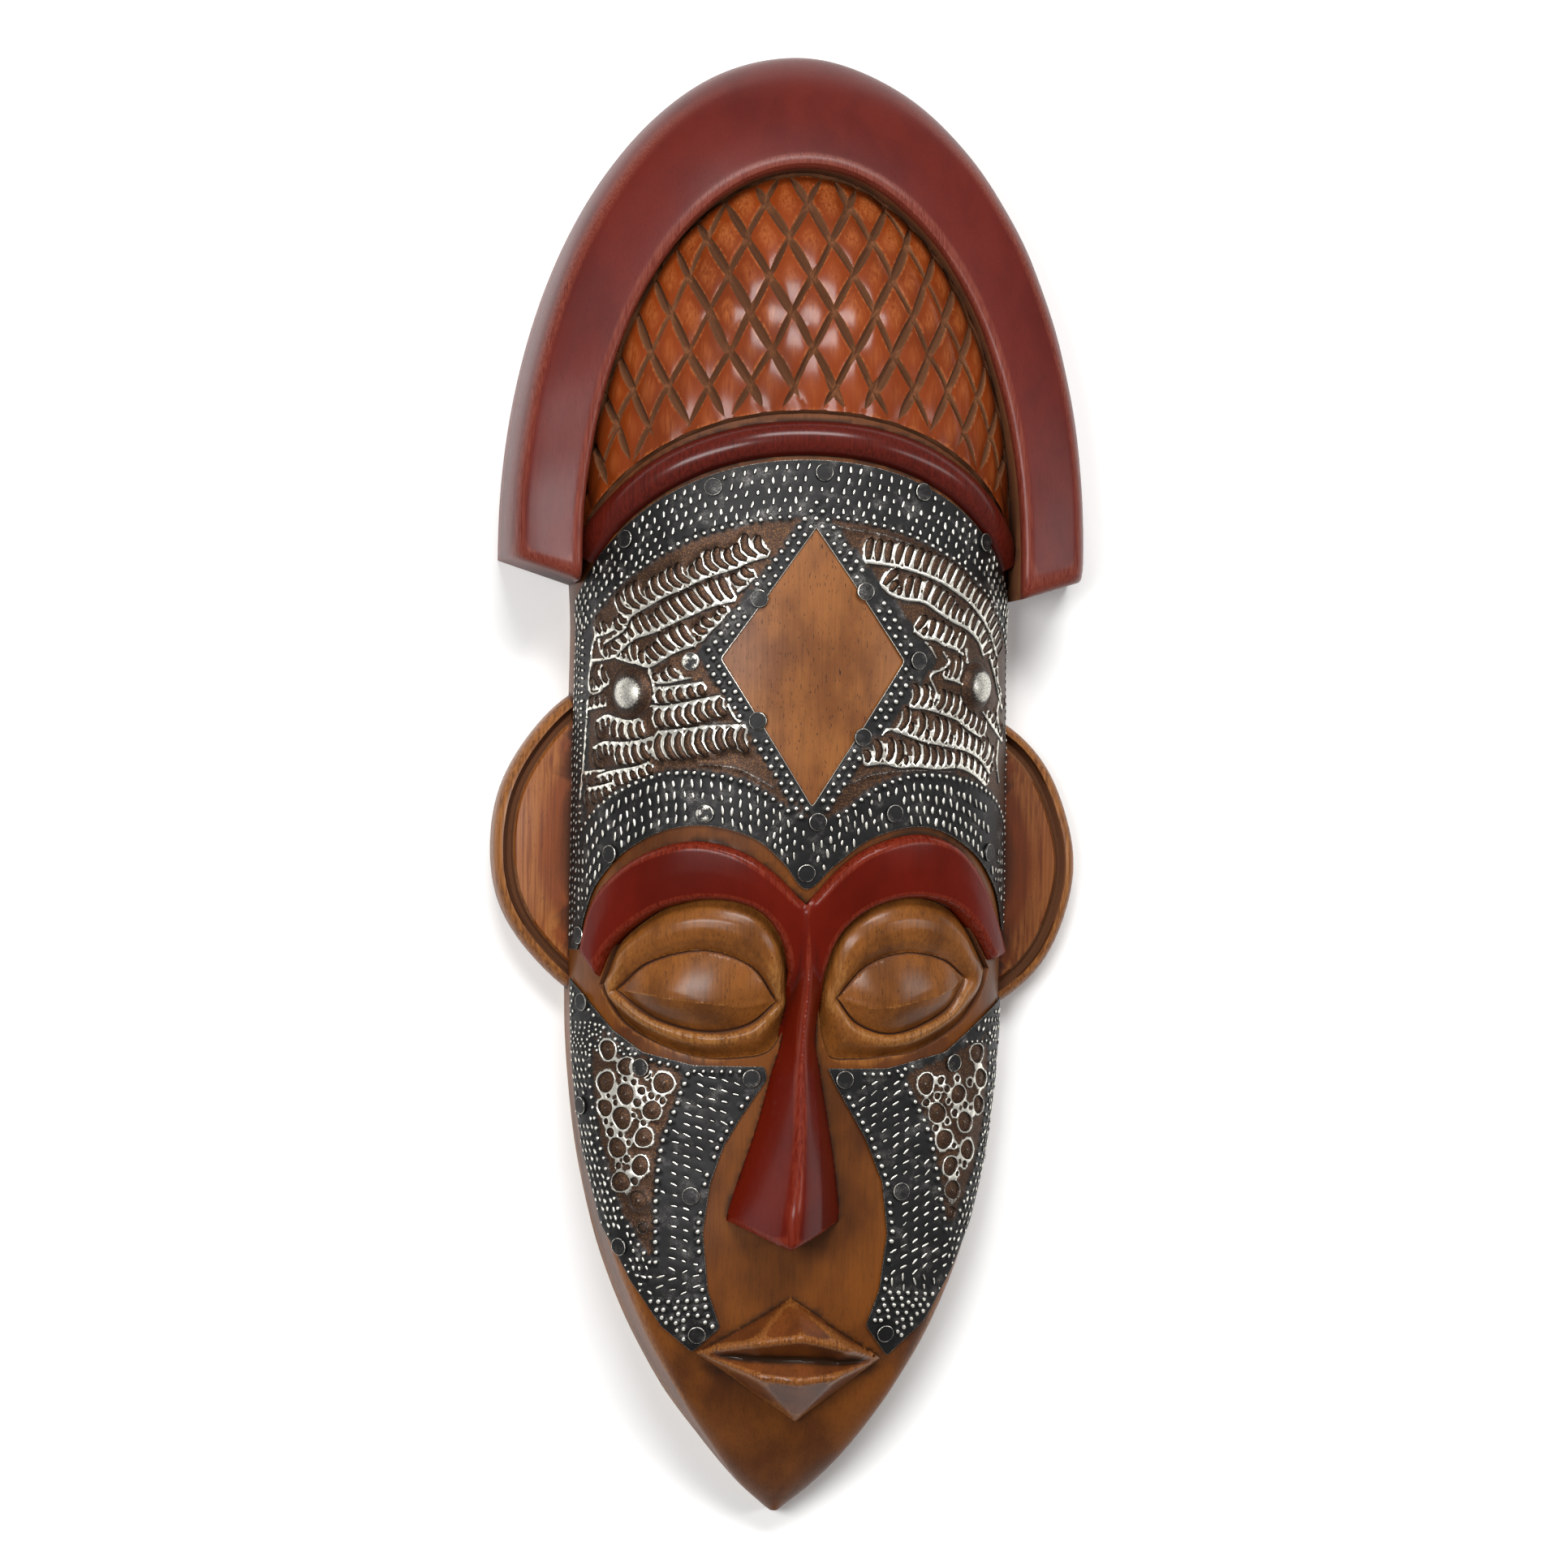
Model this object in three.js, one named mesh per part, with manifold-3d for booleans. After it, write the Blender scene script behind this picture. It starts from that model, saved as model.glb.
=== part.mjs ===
// A carved West African face mask of soft pale wood under coloured stains, about 500 mm tall,
// with three embossed aluminium sheets pinned on by flat-headed nails.
// Millimetres. The mask lies on its back: +X is the viewer's right, +Y runs to the crest and
// +Z comes out of the face. The origin is on the flat back, under the middle of the mask.
import * as THREE from "three";
import { mergeVertices } from "three/addons/utils/BufferGeometryUtils.js";
import Module from "manifold-3d";

const wasm = await Module();
wasm.setup();

// Driving sizes of the carved head: each station gives, at a height y along the mask, the half
// width of the front, the crown's height over the back, the height where the front turns into
// the flank, how far the flank splays out at the back, and the power of the cross-section.
const HEAD_STATIONS = [
  { y: -249, half: 1.5, crown: 12, flank: 9, splay: 0.5, power: 2.0 },
  { y: -240, half: 12, crown: 20, flank: 15, splay: 2.5, power: 2.0 },
  { y: -225, half: 24.5, crown: 30, flank: 24, splay: 4.5, power: 2.0 },
  { y: -205, half: 37.5, crown: 40, flank: 31, splay: 6.0, power: 2.0 },
  { y: -180, half: 50.5, crown: 48, flank: 33, splay: 5.0, power: 2.0 },
  { y: -150, half: 62.5, crown: 51, flank: 27, splay: 3.0, power: 2.0 },
  { y: -115, half: 70, crown: 53, flank: 20, splay: 1.5, power: 2.0 },
  { y: -80, half: 73.5, crown: 56, flank: 16, splay: 0.5, power: 2.0 },
  { y: -45, half: 74.5, crown: 66, flank: 13, splay: 0, power: 2.05 },
  { y: 0, half: 74.5, crown: 72, flank: 10, splay: 0, power: 2.1 },
  { y: 50, half: 74, crown: 74, flank: 10, splay: 0, power: 2.1 },
  { y: 85, half: 75.5, crown: 72, flank: 10, splay: 0, power: 2.1 },
  { y: 120, half: 74, crown: 68, flank: 12, splay: 0, power: 2.1 },
  { y: 150, half: 67, crown: 64.5, flank: 14, splay: 0, power: 2.1 },
  { y: 180, half: 51, crown: 54, flank: 17, splay: 0, power: 2.1 },
  { y: 200, half: 30, crown: 42, flank: 20, splay: 0, power: 2.1 },
  { y: 212, half: 6, crown: 32, flank: 20, splay: 0, power: 2.0 },
];
const ROW_STEP = 21; // longest step between two cross-sections of the head
const SECTION_STEPS = 18; // faces round the front of a cross-section

// The hair dome's lower edge, the sheet's upper edge and the band under it are cut by slanted
// planes, so seen from the front each is an arch: its top and how far it drops at the side.
const ARCH_HALF = 75;
const ARCH_POWER = 2.1;
const DOME_FOOT = { top: 124, drop: 56 };
const SHEET_TOP = { top: 107.5, drop: 60 };
const RIDGE = {
  top: 115, drop: 57, radius: 6.2, sink: 1.6, reach: 71, points: 10, steps: 14, curveSegments: 3,
};

// The hood is an arch between two ellipses. Its section is given as [share of the way in, z].
const HOOD = {
  outer: { half: 99.3, rise: 168.4, y: 80 },
  inner: { half: 74.5, rise: 132, y: 75 },
  section: [
    [0, 0], [0, 15], [0.1, 31], [0.42, 47], [0.72, 49], [0.95, 45], [1, 41], [1.05, 18], [1.05, 0],
  ],
  limbs: { left: { outer: 75, inner: 67 }, right: { outer: 71, inner: 63.5 } },
  steps: 22,
};

// The ears are round plates set in the sides, with a raised rim and a carved groove inside it.
const EARS = {
  left: { x: -40.5, y: -21, radius: 60 },
  right: { x: 41.6, y: -26, radius: 58.8 },
  profile: [[0, 0], [0, 0], [0, 13], [-2, 16.5], [-4.6, 17], [-5.9, 14.6], [-7.4, 17], [-34, 19]],
  steps: 24,
};

// The gouges of the lattice on the dome: each stroke runs from one crossing to the next but one, or
// to where the lattice ends. Foot and edge are the bare margins at the dome's foot and sides.
const GOUGE = {
  pitch: 14, row: 12.7, columns: 8, over: 1, shortest: 8, width: 1.5, depth: 2.2, lift: 0.4,
  foot: 2.5, edge: 3, top: 203,
};

// The hollow at the back: walls left at the sides and under the crown, its two ends, where its
// sides spring from, how far it starts below the back, and how its ends close in over rounding.
const HOLLOW = {
  wall: 13, roof: 14, from: -206, to: 194, spring: 4, below: -2, rounding: 26, closed: 0.55, steps: 10,
};

// Face. Outlines are [x, y] seen from the front, smoothed by a curve where that is said.
const BROW = {
  upper: [[-70, -57], [-67, -41], [-60, -30], [-50, -22.8], [-36.7, -19.3], [-23, -22], [-11, -29.5],
    [0, -40], [9.5, -29], [19, -21.5], [31, -17], [41.5, -16.3], [52, -20.3], [60, -29], [66.6, -42.4],
    [72, -57]],
  right: [[66.7, -58.5], [59, -47.8], [50.2, -40.3], [37.4, -37.3], [25.6, -39.3], [16.3, -45],
    [10.8, -52.4], [7.6, -62]],
  left: [[-4.6, -62], [-7.2, -52.6], [-12.9, -44.3], [-21.4, -39.8], [-33.3, -38.7], [-44.8, -41.4],
    [-53.4, -47.1], [-61, -55], [-65.3, -65.7]],
  lift: 3.6,
  low: 30,
};
const SOCKETS = [
  [[-65.5, -68.5], [-61, -55], [-53.4, -47.1], [-44.8, -41.4], [-33.3, -38.7], [-21.4, -39.8],
    [-12.9, -44.3], [-7.2, -52.6], [-4.4, -64], [-4, -76], [-9, -89], [-20, -92.2], [-34, -92],
    [-47.6, -87.4], [-58.4, -80.4]],
  [[67.8, -61.5], [59, -47.8], [50.2, -40.3], [37.4, -37.3], [25.6, -39.3], [16.3, -45], [10.8, -52.4],
    [7.8, -64], [6.4, -76], [10, -90.5], [19, -92.2], [30, -91.3], [42.2, -89], [57.6, -80.1],
    [64.5, -71]],
];
const EYEBALLS = [
  [[-60, -70], [-50, -60.4], [-33, -56], [-17, -61], [-8, -72.6], [-17, -80.6], [-31, -83.2], [-47, -79.2]],
  [[12.3, -71.3], [22, -60.4], [35, -56], [49, -58.2], [58, -64.6], [50, -76], [33, -83.2], [20, -80]],
];
// Height of the lids and of the closed eyeballs over the head, at shares of the way out.
const LID_RISE = [[0.4, 0.6], [0.62, 1.6], [0.8, 2.2], [0.92, 0.6], [1, -2.6]];
const BALL_RISE = [[0.01, 5.6], [0.4, 5], [0.7, 3.8], [0.9, 1.8], [1, 0.2]];
const SOCKET_DEPTH = 2.6;
const SOFT_STEPS = { socket: 20, eyeball: 14 }; // points round each smoothed outline
// Each swelling is rooted in the wood: its outline sinks by foot, then closes on a smaller floor.
const ROOT = { foot: -7, floor: -9, share: 0.4 };
const ABOVE = 120; // higher than any part of the face

// Nose: at each height the middle, the half width, and the heights of the ridge and the foot.
const NOSE = [
  { y: -36, x: 0.3, half: 4, ridge: 70.5, foot: 60 },
  { y: -63, x: 1.3, half: 5.6, ridge: 68, foot: 54 },
  { y: -84, x: -0.2, half: 6, ridge: 68, foot: 50 },
  { y: -98, x: -0.8, half: 9.5, ridge: 70.5, foot: 48 },
  { y: -117, x: -1.2, half: 13.8, ridge: 75, foot: 46 },
  { y: -131, x: -2.2, half: 16.4, ridge: 78.5, foot: 46 },
  { y: -143, x: -3.6, half: 18.4, ridge: 80.5, foot: 46 },
  { y: -150, x: -4.6, half: 9, ridge: 77, foot: 46 },
  { y: -153.5, x: -4.6, half: 5, ridge: 58, foot: 46 },
];
const NOSE_SECTION = [[-1, 0], [-0.72, 0.42], [-0.22, 0.94], [0.2, 1], [0.66, 0.46], [1, 0]];

// Mouth: corner points [x, y, z] of its carved facets, and the faces between them.
const MOUTH = {
  points: {
    apex: [-0.7, -172.5, 50], left: [-31.5, -191.5, 42.5],
    right: [31.3, -193.4, 42.5], tip: [3.4, -215.5, 37],
    upperLeft: [-14.5, -187, 60], upperMid: [2, -185, 62.5], upperRight: [19.5, -189, 59.5],
    slotLeft: [-12, -192.4, 51.5], slotMid: [1.5, -192.6, 52.5], slotRight: [15, -193.6, 51.5],
    lowerLeft: [-12.5, -198.6, 56.5], lowerMid: [1.3, -200, 58.5], lowerRight: [15, -198.6, 56.5],
  },
  faces: [
    "apex left upperLeft", "apex upperLeft upperMid", "apex upperMid upperRight", "apex upperRight right",
    "left slotLeft upperLeft", "upperLeft slotLeft slotMid", "upperLeft slotMid upperMid",
    "upperMid slotMid slotRight", "upperMid slotRight upperRight", "upperRight slotRight right",
    "left lowerLeft slotLeft", "slotLeft lowerLeft lowerMid", "slotLeft lowerMid slotMid",
    "slotMid lowerMid lowerRight", "slotMid lowerRight slotRight", "slotRight lowerRight right",
    "left tip lowerLeft", "lowerLeft tip lowerMid", "lowerMid tip lowerRight", "lowerRight tip right",
  ],
  rim: ["apex", "left", "tip", "right"],
  floor: 24,
};

// Embossed sheets: they lie over the wood with a hair's gap.
const SHEET = { gap: 0.3, thick: 0.7, foot: 21, reach: 80, step: 8 };
const WINDOW = [[0.8, 85], [-29.7, 41.2], [0.9, -7.4], [31.2, 41.4]];
const FOREHEAD_FOOT = [
  [-80, -57], [-71.6, -57], [-69.5, -44], [-66.3, -34.2], [-58.5, -23.6], [-46.5, -16], [-32.2, -14.1],
  [-17.6, -18.2], [-8, -26], [0, -34.6], [9.7, -26.1], [22.8, -16.8], [40.9, -13.6], [57.8, -21.4],
  [68, -34], [73, -48.8], [80, -48.8],
];
const CHEEKS = {
  left: [[-73.6, -66.8], [-67.3, -75], [-60.6, -83.4], [-51, -90.6], [-34.3, -94.6], [-11.3, -94.6],
    [-10.3, -98.6], [-18.4, -111], [-24.1, -121.2], [-28.4, -134.1], [-30.4, -150.8], [-28.3, -170.3],
    [-23.9, -182.6], [-32.6, -191], [-42.8, -182.7], [-53.1, -167.4], [-62.3, -149], [-68.1, -126.2],
    [-71.2, -106.6], [-73.6, -83.9]],
  right: [[10.1, -95], [12.8, -100.6], [23.4, -118.4], [29.6, -133], [31.8, -150.8], [29.5, -170.1],
    [25.4, -181.7], [33.2, -192.3], [45.8, -180.4], [54.5, -164.9], [62.3, -147.5], [68.4, -124.6],
    [72.2, -96], [73.6, -71.8], [66, -77.4], [51, -89.6], [30.1, -95]],
};
// Hollow-looking bosses punched up from the sheet: profile as [share of radius, share of rise].
const BOSSES = {
  left: { x: -57.4, y: 29.6 },
  right: { x: 58.5, y: 33.8 },
  radius: 8.5,
  rise: 3.6,
  profile: [[0, 0], [1, 0], [0.72, 0.62], [0.35, 0.95], [0, 1]],
  steps: 12,
};

// Flat-headed nails: [x, y] of each.
const NAIL = { radius: 3.1, top: 2.3, thick: 0.9, gap: 0.3, sides: 7 };
const NAILS = {
  forehead: [[-32.6, 98], [3.4, 103.4], [37.2, 98], [-59.5, 81], [60.5, 82.5], [-17.7, 61.1], [17.3, 64.2],
    [-39, 40.2], [36, 41.8], [-17.5, 20.8], [17.3, 16], [-33.6, -10.1], [28.8, -9.1], [2.9, -12.2],
    [-62.4, -24.3], [64.5, -22], [-0.3, -29.2], [-70.9, -52]],
  left: [[-69.6, -74.5], [-51.4, -95.6], [-15.5, -98.4], [-69, -109.6], [-34.4, -138.3], [-56.5, -156.3],
    [-31.2, -185]],
  right: [[15.7, -98.6], [53.9, -93.3], [36.1, -136.4], [32, -184.4]],
};

const FINISH = {
  wood: new THREE.MeshStandardMaterial({ color: 0x8a4a22, roughness: 0.38, metalness: 0 }),
  sheet: new THREE.MeshStandardMaterial({ color: 0x6f6c6a, roughness: 0.35, metalness: 1 }),
  nail: new THREE.MeshStandardMaterial({ color: 0x3a3b3d, roughness: 0.4, metalness: 1 }),
};

// A smooth value between stations that never overshoots them.
function between(stations, key, y) {
  const last = stations.length - 1;
  if (y <= stations[0].y) return stations[0][key];
  if (y >= stations[last].y) return stations[last][key];
  const i = stations.findIndex((s) => s.y > y) - 1;
  const slope = (k) => (stations[k + 1][key] - stations[k][key]) / (stations[k + 1].y - stations[k].y);
  const tangent = (k) => {
    if (k === 0) return slope(0);
    if (k === last) return slope(last - 1);
    const [a, b] = [slope(k - 1), slope(k)];
    return a * b > 0 ? (2 * a * b) / (a + b) : 0;
  };
  const span = stations[i + 1].y - stations[i].y;
  const t = (y - stations[i].y) / span;
  const [t2, t3] = [t * t, t * t * t];
  return (2 * t3 - 3 * t2 + 1) * stations[i][key] + (t3 - 2 * t2 + t) * span * tangent(i)
    + (3 * t2 - 2 * t3) * stations[i + 1][key] + (t3 - t2) * span * tangent(i + 1);
}

const head = (key, y) => between(HEAD_STATIONS, key, y);
const signedPower = (value, power) => Math.sign(value) * Math.abs(value) ** power;

// A point of the plain head's front, at an angle round the section and a height along the mask.
function headPoint(angle, y) {
  const bend = 2 / head("power", y);
  const [crown, flank] = [head("crown", y), head("flank", y)];
  return new THREE.Vector3(
    head("half", y) * signedPower(Math.sin(angle), bend),
    y,
    flank + (crown - flank) * Math.max(0, Math.cos(angle)) ** bend,
  );
}

function headNormal(angle, y) {
  const [da, dy] = [0.01, 0.5];
  const low = HEAD_STATIONS[0].y;
  const high = HEAD_STATIONS[HEAD_STATIONS.length - 1].y;
  const right = headPoint(Math.min(angle + da, Math.PI / 2), y);
  const across = right.sub(headPoint(Math.max(angle - da, -Math.PI / 2), y));
  const along = headPoint(angle, Math.min(y + dy, high)).sub(headPoint(angle, Math.max(y - dy, low)));
  return across.cross(along).normalize();
}

const liftedPoint = (angle, y, lift) => headPoint(angle, y).addScaledVector(headNormal(angle, y), lift);

// The angle round the section at which the front lies at x.
function angleAt(x, y) {
  const share = THREE.MathUtils.clamp(x / head("half", y), -1, 1);
  return Math.asin(signedPower(share, head("power", y) / 2));
}

const surfaceAt = (x, y, lift = 0) => liftedPoint(angleAt(x, y), y, lift);

// Height of an arch cut by a slanted plane, seen from the front.
function archAt(arch, x) {
  const share = Math.min(Math.abs(x) / ARCH_HALF, 1);
  return arch.top - arch.drop * (1 - Math.max(0, 1 - share ** ARCH_POWER) ** (1 / ARCH_POWER));
}

// A closed solid through rings of equal length, with a fan from the middle of each end.
function loft(rings) {
  const positions = [];
  const count = rings[0].length;
  rings.forEach((ring) => ring.forEach((p) => positions.push(p.x, p.y, p.z)));
  const middle = (ring) => ring.reduce((sum, p) => sum.add(p), new THREE.Vector3()).divideScalar(count);
  const ends = [middle(rings[0]), middle(rings[rings.length - 1])];
  ends.forEach((p) => positions.push(p.x, p.y, p.z));
  const first = rings.length * count;
  const index = [];
  for (let r = 0; r + 1 < rings.length; r += 1) {
    for (let k = 0; k < count; k += 1) {
      const [a, b] = [r * count + k, r * count + ((k + 1) % count)];
      index.push(a, b, b + count, a, b + count, a + count);
    }
  }
  const tail = (rings.length - 1) * count;
  for (let k = 0; k < count; k += 1) {
    const next = (k + 1) % count;
    index.push(first, next, k, first + 1, tail + k, tail + next);
  }
  const geometry = new THREE.BufferGeometry();
  geometry.setAttribute("position", new THREE.Float32BufferAttribute(positions, 3));
  geometry.setIndex(index);
  return geometry;
}

// A geometry as a solid that can be joined and cut, with its faces turned outwards.
function solid(geometry) {
  const plain = geometry.clone();
  plain.deleteAttribute("normal");
  plain.deleteAttribute("uv");
  const merged = mergeVertices(plain, 1e-4);
  const vertProperties = new Float32Array(merged.attributes.position.array);
  const triVerts = new Uint32Array(merged.index.array);
  const build = () => new wasm.Manifold(new wasm.Mesh({ numProp: 3, vertProperties, triVerts }));
  const made = build();
  if (made.volume() > 0) return made;
  for (let i = 0; i < triVerts.length; i += 3) {
    [triVerts[i + 1], triVerts[i + 2]] = [triVerts[i + 2], triVerts[i + 1]];
  }
  return build();
}

function geometryOf(made) {
  const mesh = made.getMesh();
  const geometry = new THREE.BufferGeometry();
  geometry.setAttribute("position", new THREE.BufferAttribute(new Float32Array(mesh.vertProperties), 3));
  geometry.setIndex(new THREE.BufferAttribute(new Uint32Array(mesh.triVerts), 1));
  const faceted = geometry.toNonIndexed();
  faceted.computeVertexNormals();
  return faceted;
}

function namedMesh(name, made, material) {
  const mesh = new THREE.Mesh(geometryOf(made), material);
  mesh.name = name;
  return mesh;
}

// Upright prism over an outline seen from the front.
function prism(outline, low, high) {
  const shape = new THREE.Shape(outline.map(([x, y]) => new THREE.Vector2(x, y)));
  const geometry = new THREE.ExtrudeGeometry(shape, { depth: high - low, bevelEnabled: false });
  return solid(geometry.translate(0, 0, low));
}

// A closed outline through its points as a smooth curve.
function rounded(outline, count) {
  const points = outline.map(([x, y]) => new THREE.Vector3(x, y, 0));
  const curve = new THREE.CatmullRomCurve3(points, true, "centripetal");
  return curve.getSpacedPoints(count).slice(0, count).map((p) => [p.x, p.y]);
}

// The plain head, from its flat back to its front, lifted or sunk by a little.
function plainHead(lift) {
  const rows = [];
  HEAD_STATIONS.slice(1).forEach((station, i) => {
    const from = HEAD_STATIONS[i].y;
    const steps = Math.ceil((station.y - from) / ROW_STEP);
    for (let k = i === 0 ? 0 : 1; k <= steps; k += 1) rows.push(from + ((station.y - from) * k) / steps);
  });
  return solid(loft(rows.map((y) => {
    const wide = head("half", y) + head("splay", y) + lift;
    const front = [];
    for (let k = 0; k <= SECTION_STEPS; k += 1) {
      front.push(liftedPoint((k / SECTION_STEPS - 0.5) * Math.PI, y, lift));
    }
    return [new THREE.Vector3(-wide, y, 0), ...front, new THREE.Vector3(wide, y, 0)];
  })));
}

// The arched hood, its limbs cut off on a slant.
function hood() {
  const { outer, inner, section, limbs, steps } = HOOD;
  const on = ({ half, rise, y }, t) => new THREE.Vector2(half * Math.cos(t), y + rise * Math.sin(t));
  const ring = (a, b) => section.map(([share, z]) => {
    const place = a.clone().lerp(b, share);
    return new THREE.Vector3(place.x, place.y, z);
  });
  const end = (side, sign) => ring(
    new THREE.Vector2(sign * outer.half, limbs[side].outer),
    new THREE.Vector2(sign * inner.half, limbs[side].inner),
  );
  const rings = [end("right", 1)];
  for (let k = 0; k <= steps; k += 1) {
    const turn = (Math.PI * k) / steps;
    rings.push(ring(on(outer, turn), on(inner, turn)));
  }
  rings.push(end("left", -1));
  return solid(loft(rings));
}

function ear({ x, y, radius }) {
  const profile = EARS.profile.map(([inset, z], i) => new THREE.Vector2(i === 0 ? 0 : radius + inset, z));
  profile.push(new THREE.Vector2(0, profile[profile.length - 1].y));
  return solid(new THREE.LatheGeometry(profile, EARS.steps).rotateX(Math.PI / 2).translate(x, y, 0));
}

// The half-round band between the hair dome and the forehead.
function ridge() {
  const points = [];
  for (let k = -RIDGE.points; k <= RIDGE.points; k += 1) {
    const x = (RIDGE.reach * k) / RIDGE.points;
    points.push(surfaceAt(x, archAt(RIDGE, x), -RIDGE.sink));
  }
  const section = new THREE.Shape();
  section.absarc(0, 0, RIDGE.radius, 0, 2 * Math.PI);
  const extrudePath = new THREE.CatmullRomCurve3(points);
  const { steps, curveSegments } = RIDGE;
  const sweep = { steps, curveSegments, extrudePath, bevelEnabled: false };
  return solid(new THREE.ExtrudeGeometry(section, sweep));
}

// A soft swelling over an outline: rings at shares of the way out, each with its own rise.
function pillow(outline, rises) {
  const count = outline.length;
  const [mx, my] = outline.reduce(([a, b], [x, y]) => [a + x / count, b + y / count], [0, 0]);
  const ring = (share, rise) => outline.map(([x, y]) => (
    surfaceAt(mx + (x - mx) * share, my + (y - my) * share, rise)
  ));
  const rings = rises.map(([share, rise]) => ring(share, rise));
  rings.push(ring(1, ROOT.foot), ring(ROOT.share, ROOT.floor));
  return solid(loft(rings));
}

function nose() {
  return solid(loft(NOSE.map(({ y, x, half, ridge: top, foot }) => NOSE_SECTION.map(([across, up]) => (
    new THREE.Vector3(x + half * across, y, foot + (top - foot) * up)
  )))));
}

function mouth() {
  const names = Object.keys(MOUTH.points);
  const count = names.length;
  const positions = [];
  names.forEach((name) => positions.push(...MOUTH.points[name]));
  MOUTH.rim.forEach((name) => positions.push(MOUTH.points[name][0], MOUTH.points[name][1], MOUTH.floor));
  const index = MOUTH.faces.flatMap((face) => face.split(" ").map((name) => names.indexOf(name)));
  MOUTH.rim.forEach((name, k) => {
    const next = (k + 1) % MOUTH.rim.length;
    const [a, b] = [names.indexOf(name), names.indexOf(MOUTH.rim[next])];
    index.push(a, count + k, b, b, count + k, count + next);
  });
  index.push(count, count + 2, count + 1, count, count + 3, count + 2);
  const geometry = new THREE.BufferGeometry();
  geometry.setAttribute("position", new THREE.Float32BufferAttribute(positions, 3));
  geometry.setIndex(index);
  return solid(geometry);
}

// Whether a place on the dome, given by its arc length from the middle, is inside the lattice.
function inLattice(arc, y) {
  if (y > GOUGE.top) return false;
  const half = head("half", y);
  const seen = half * Math.sin(arc / half);
  const domeEdge = HOOD.inner.half * Math.sqrt(1 - ((y - HOOD.inner.y) / HOOD.inner.rise) ** 2);
  return Math.abs(arc / half) < Math.PI / 2 && Math.abs(seen) < domeEdge - GOUGE.edge
    && y > archAt(DOME_FOOT, seen) + GOUGE.foot;
}

// One stroke of the gouge: a spindle that lies in the dome's surface and tapers at its ends.
function stroke(arc, y, lean) {
  const run = { x: (lean * GOUGE.pitch) / 2, y: GOUGE.row };
  const long = Math.hypot(run.x, run.y);
  const reach = (way) => {
    const shares = [1, 0.8, 0.6, 0.4, 0.2, 0, -0.2, -0.4, -0.6];
    const share = shares.find((n) => inLattice(arc + way * n * run.x, y + way * n * run.y));
    return share === undefined ? 0 : way * share * long;
  };
  const [back, ahead] = [reach(-1) - GOUGE.over, reach(1) + GOUGE.over];
  if (ahead - back < GOUGE.shortest) return null;
  const at = (along, across, lift) => {
    const sx = arc + (run.x * along - run.y * across) / long;
    const sy = y + (run.y * along + run.x * across) / long;
    return liftedPoint(sx / head("half", sy), sy, lift);
  };
  const middle = (back + ahead) / 2;
  const corners = [
    at(back, 0, GOUGE.lift / 2), at(ahead, 0, GOUGE.lift / 2),
    at(middle, -GOUGE.width, GOUGE.lift), at(middle, GOUGE.width, GOUGE.lift),
    at(middle, 0, -GOUGE.depth), at(middle, 0, GOUGE.depth),
  ];
  const positions = corners.flatMap((p) => [p.x, p.y, p.z]);
  const geometry = new THREE.BufferGeometry();
  geometry.setAttribute("position", new THREE.Float32BufferAttribute(positions, 3));
  geometry.setIndex([0, 2, 4, 2, 1, 4, 1, 3, 4, 3, 0, 4, 2, 0, 5, 1, 2, 5, 3, 1, 5, 0, 3, 5]);
  return solid(geometry);
}

// Strokes of two leans over the dome, from one crossing of the lattice to the next.
function lattice() {
  const strokes = [];
  const low = DOME_FOOT.top - DOME_FOOT.drop;
  for (let y = low; y < GOUGE.top + GOUGE.row; y += 2 * GOUGE.row) {
    for (let k = -GOUGE.columns; k <= GOUGE.columns; k += 1) {
      strokes.push(stroke(k * GOUGE.pitch, y, 1), stroke(k * GOUGE.pitch, y, -1));
    }
  }
  return wasm.Manifold.union(strokes.filter((made) => made !== null));
}

// The space carved out of the back.
function hollow() {
  const rings = [];
  for (let k = 0; k <= HOLLOW.steps; k += 1) {
    const y = HOLLOW.from + ((HOLLOW.to - HOLLOW.from) * k) / HOLLOW.steps;
    const end = Math.min(y - HOLLOW.from, HOLLOW.to - y) / HOLLOW.rounding;
    const round = end >= 1 ? 1 : HOLLOW.closed + (1 - HOLLOW.closed) * Math.sqrt(1 - (1 - end) ** 2);
    const half = (head("half", y) - HOLLOW.wall) * round;
    const roof = (head("crown", y) - HOLLOW.roof) * round;
    const ring = [new THREE.Vector3(-half, y, HOLLOW.below)];
    for (let a = 0; a <= HOLLOW.steps; a += 1) {
      const angle = (a / HOLLOW.steps - 0.5) * Math.PI;
      const z = HOLLOW.spring + (roof - HOLLOW.spring) * Math.cos(angle);
      ring.push(new THREE.Vector3(half * Math.sin(angle), y, z));
    }
    ring.push(new THREE.Vector3(half, y, HOLLOW.below));
    rings.push(ring);
  }
  return solid(loft(rings));
}

function carvedWood() {
  const browOutline = [...BROW.upper, ...BROW.right, ...BROW.left];
  const sunk = plainHead(-SOCKET_DEPTH);
  let wood = plainHead(0);
  SOCKETS.forEach((outline) => {
    wood = wood.subtract(prism(rounded(outline, SOFT_STEPS.socket), 0, ABOVE).subtract(sunk));
  });
  wood = wood.add(prism(browOutline, BROW.low, ABOVE).intersect(plainHead(BROW.lift)));
  SOCKETS.forEach((outline) => {
    wood = wood.add(pillow(rounded(outline, SOFT_STEPS.socket), LID_RISE));
  });
  EYEBALLS.forEach((outline) => {
    wood = wood.add(pillow(rounded(outline, SOFT_STEPS.eyeball), BALL_RISE));
  });
  wood = wood.add(nose()).add(mouth()).add(ridge()).subtract(lattice());
  wood = wood.add(hood()).add(ear(EARS.left)).add(ear(EARS.right));
  return wood.subtract(hollow());
}

const wholeSheet = plainHead(SHEET.gap + SHEET.thick).subtract(plainHead(SHEET.gap));

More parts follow.
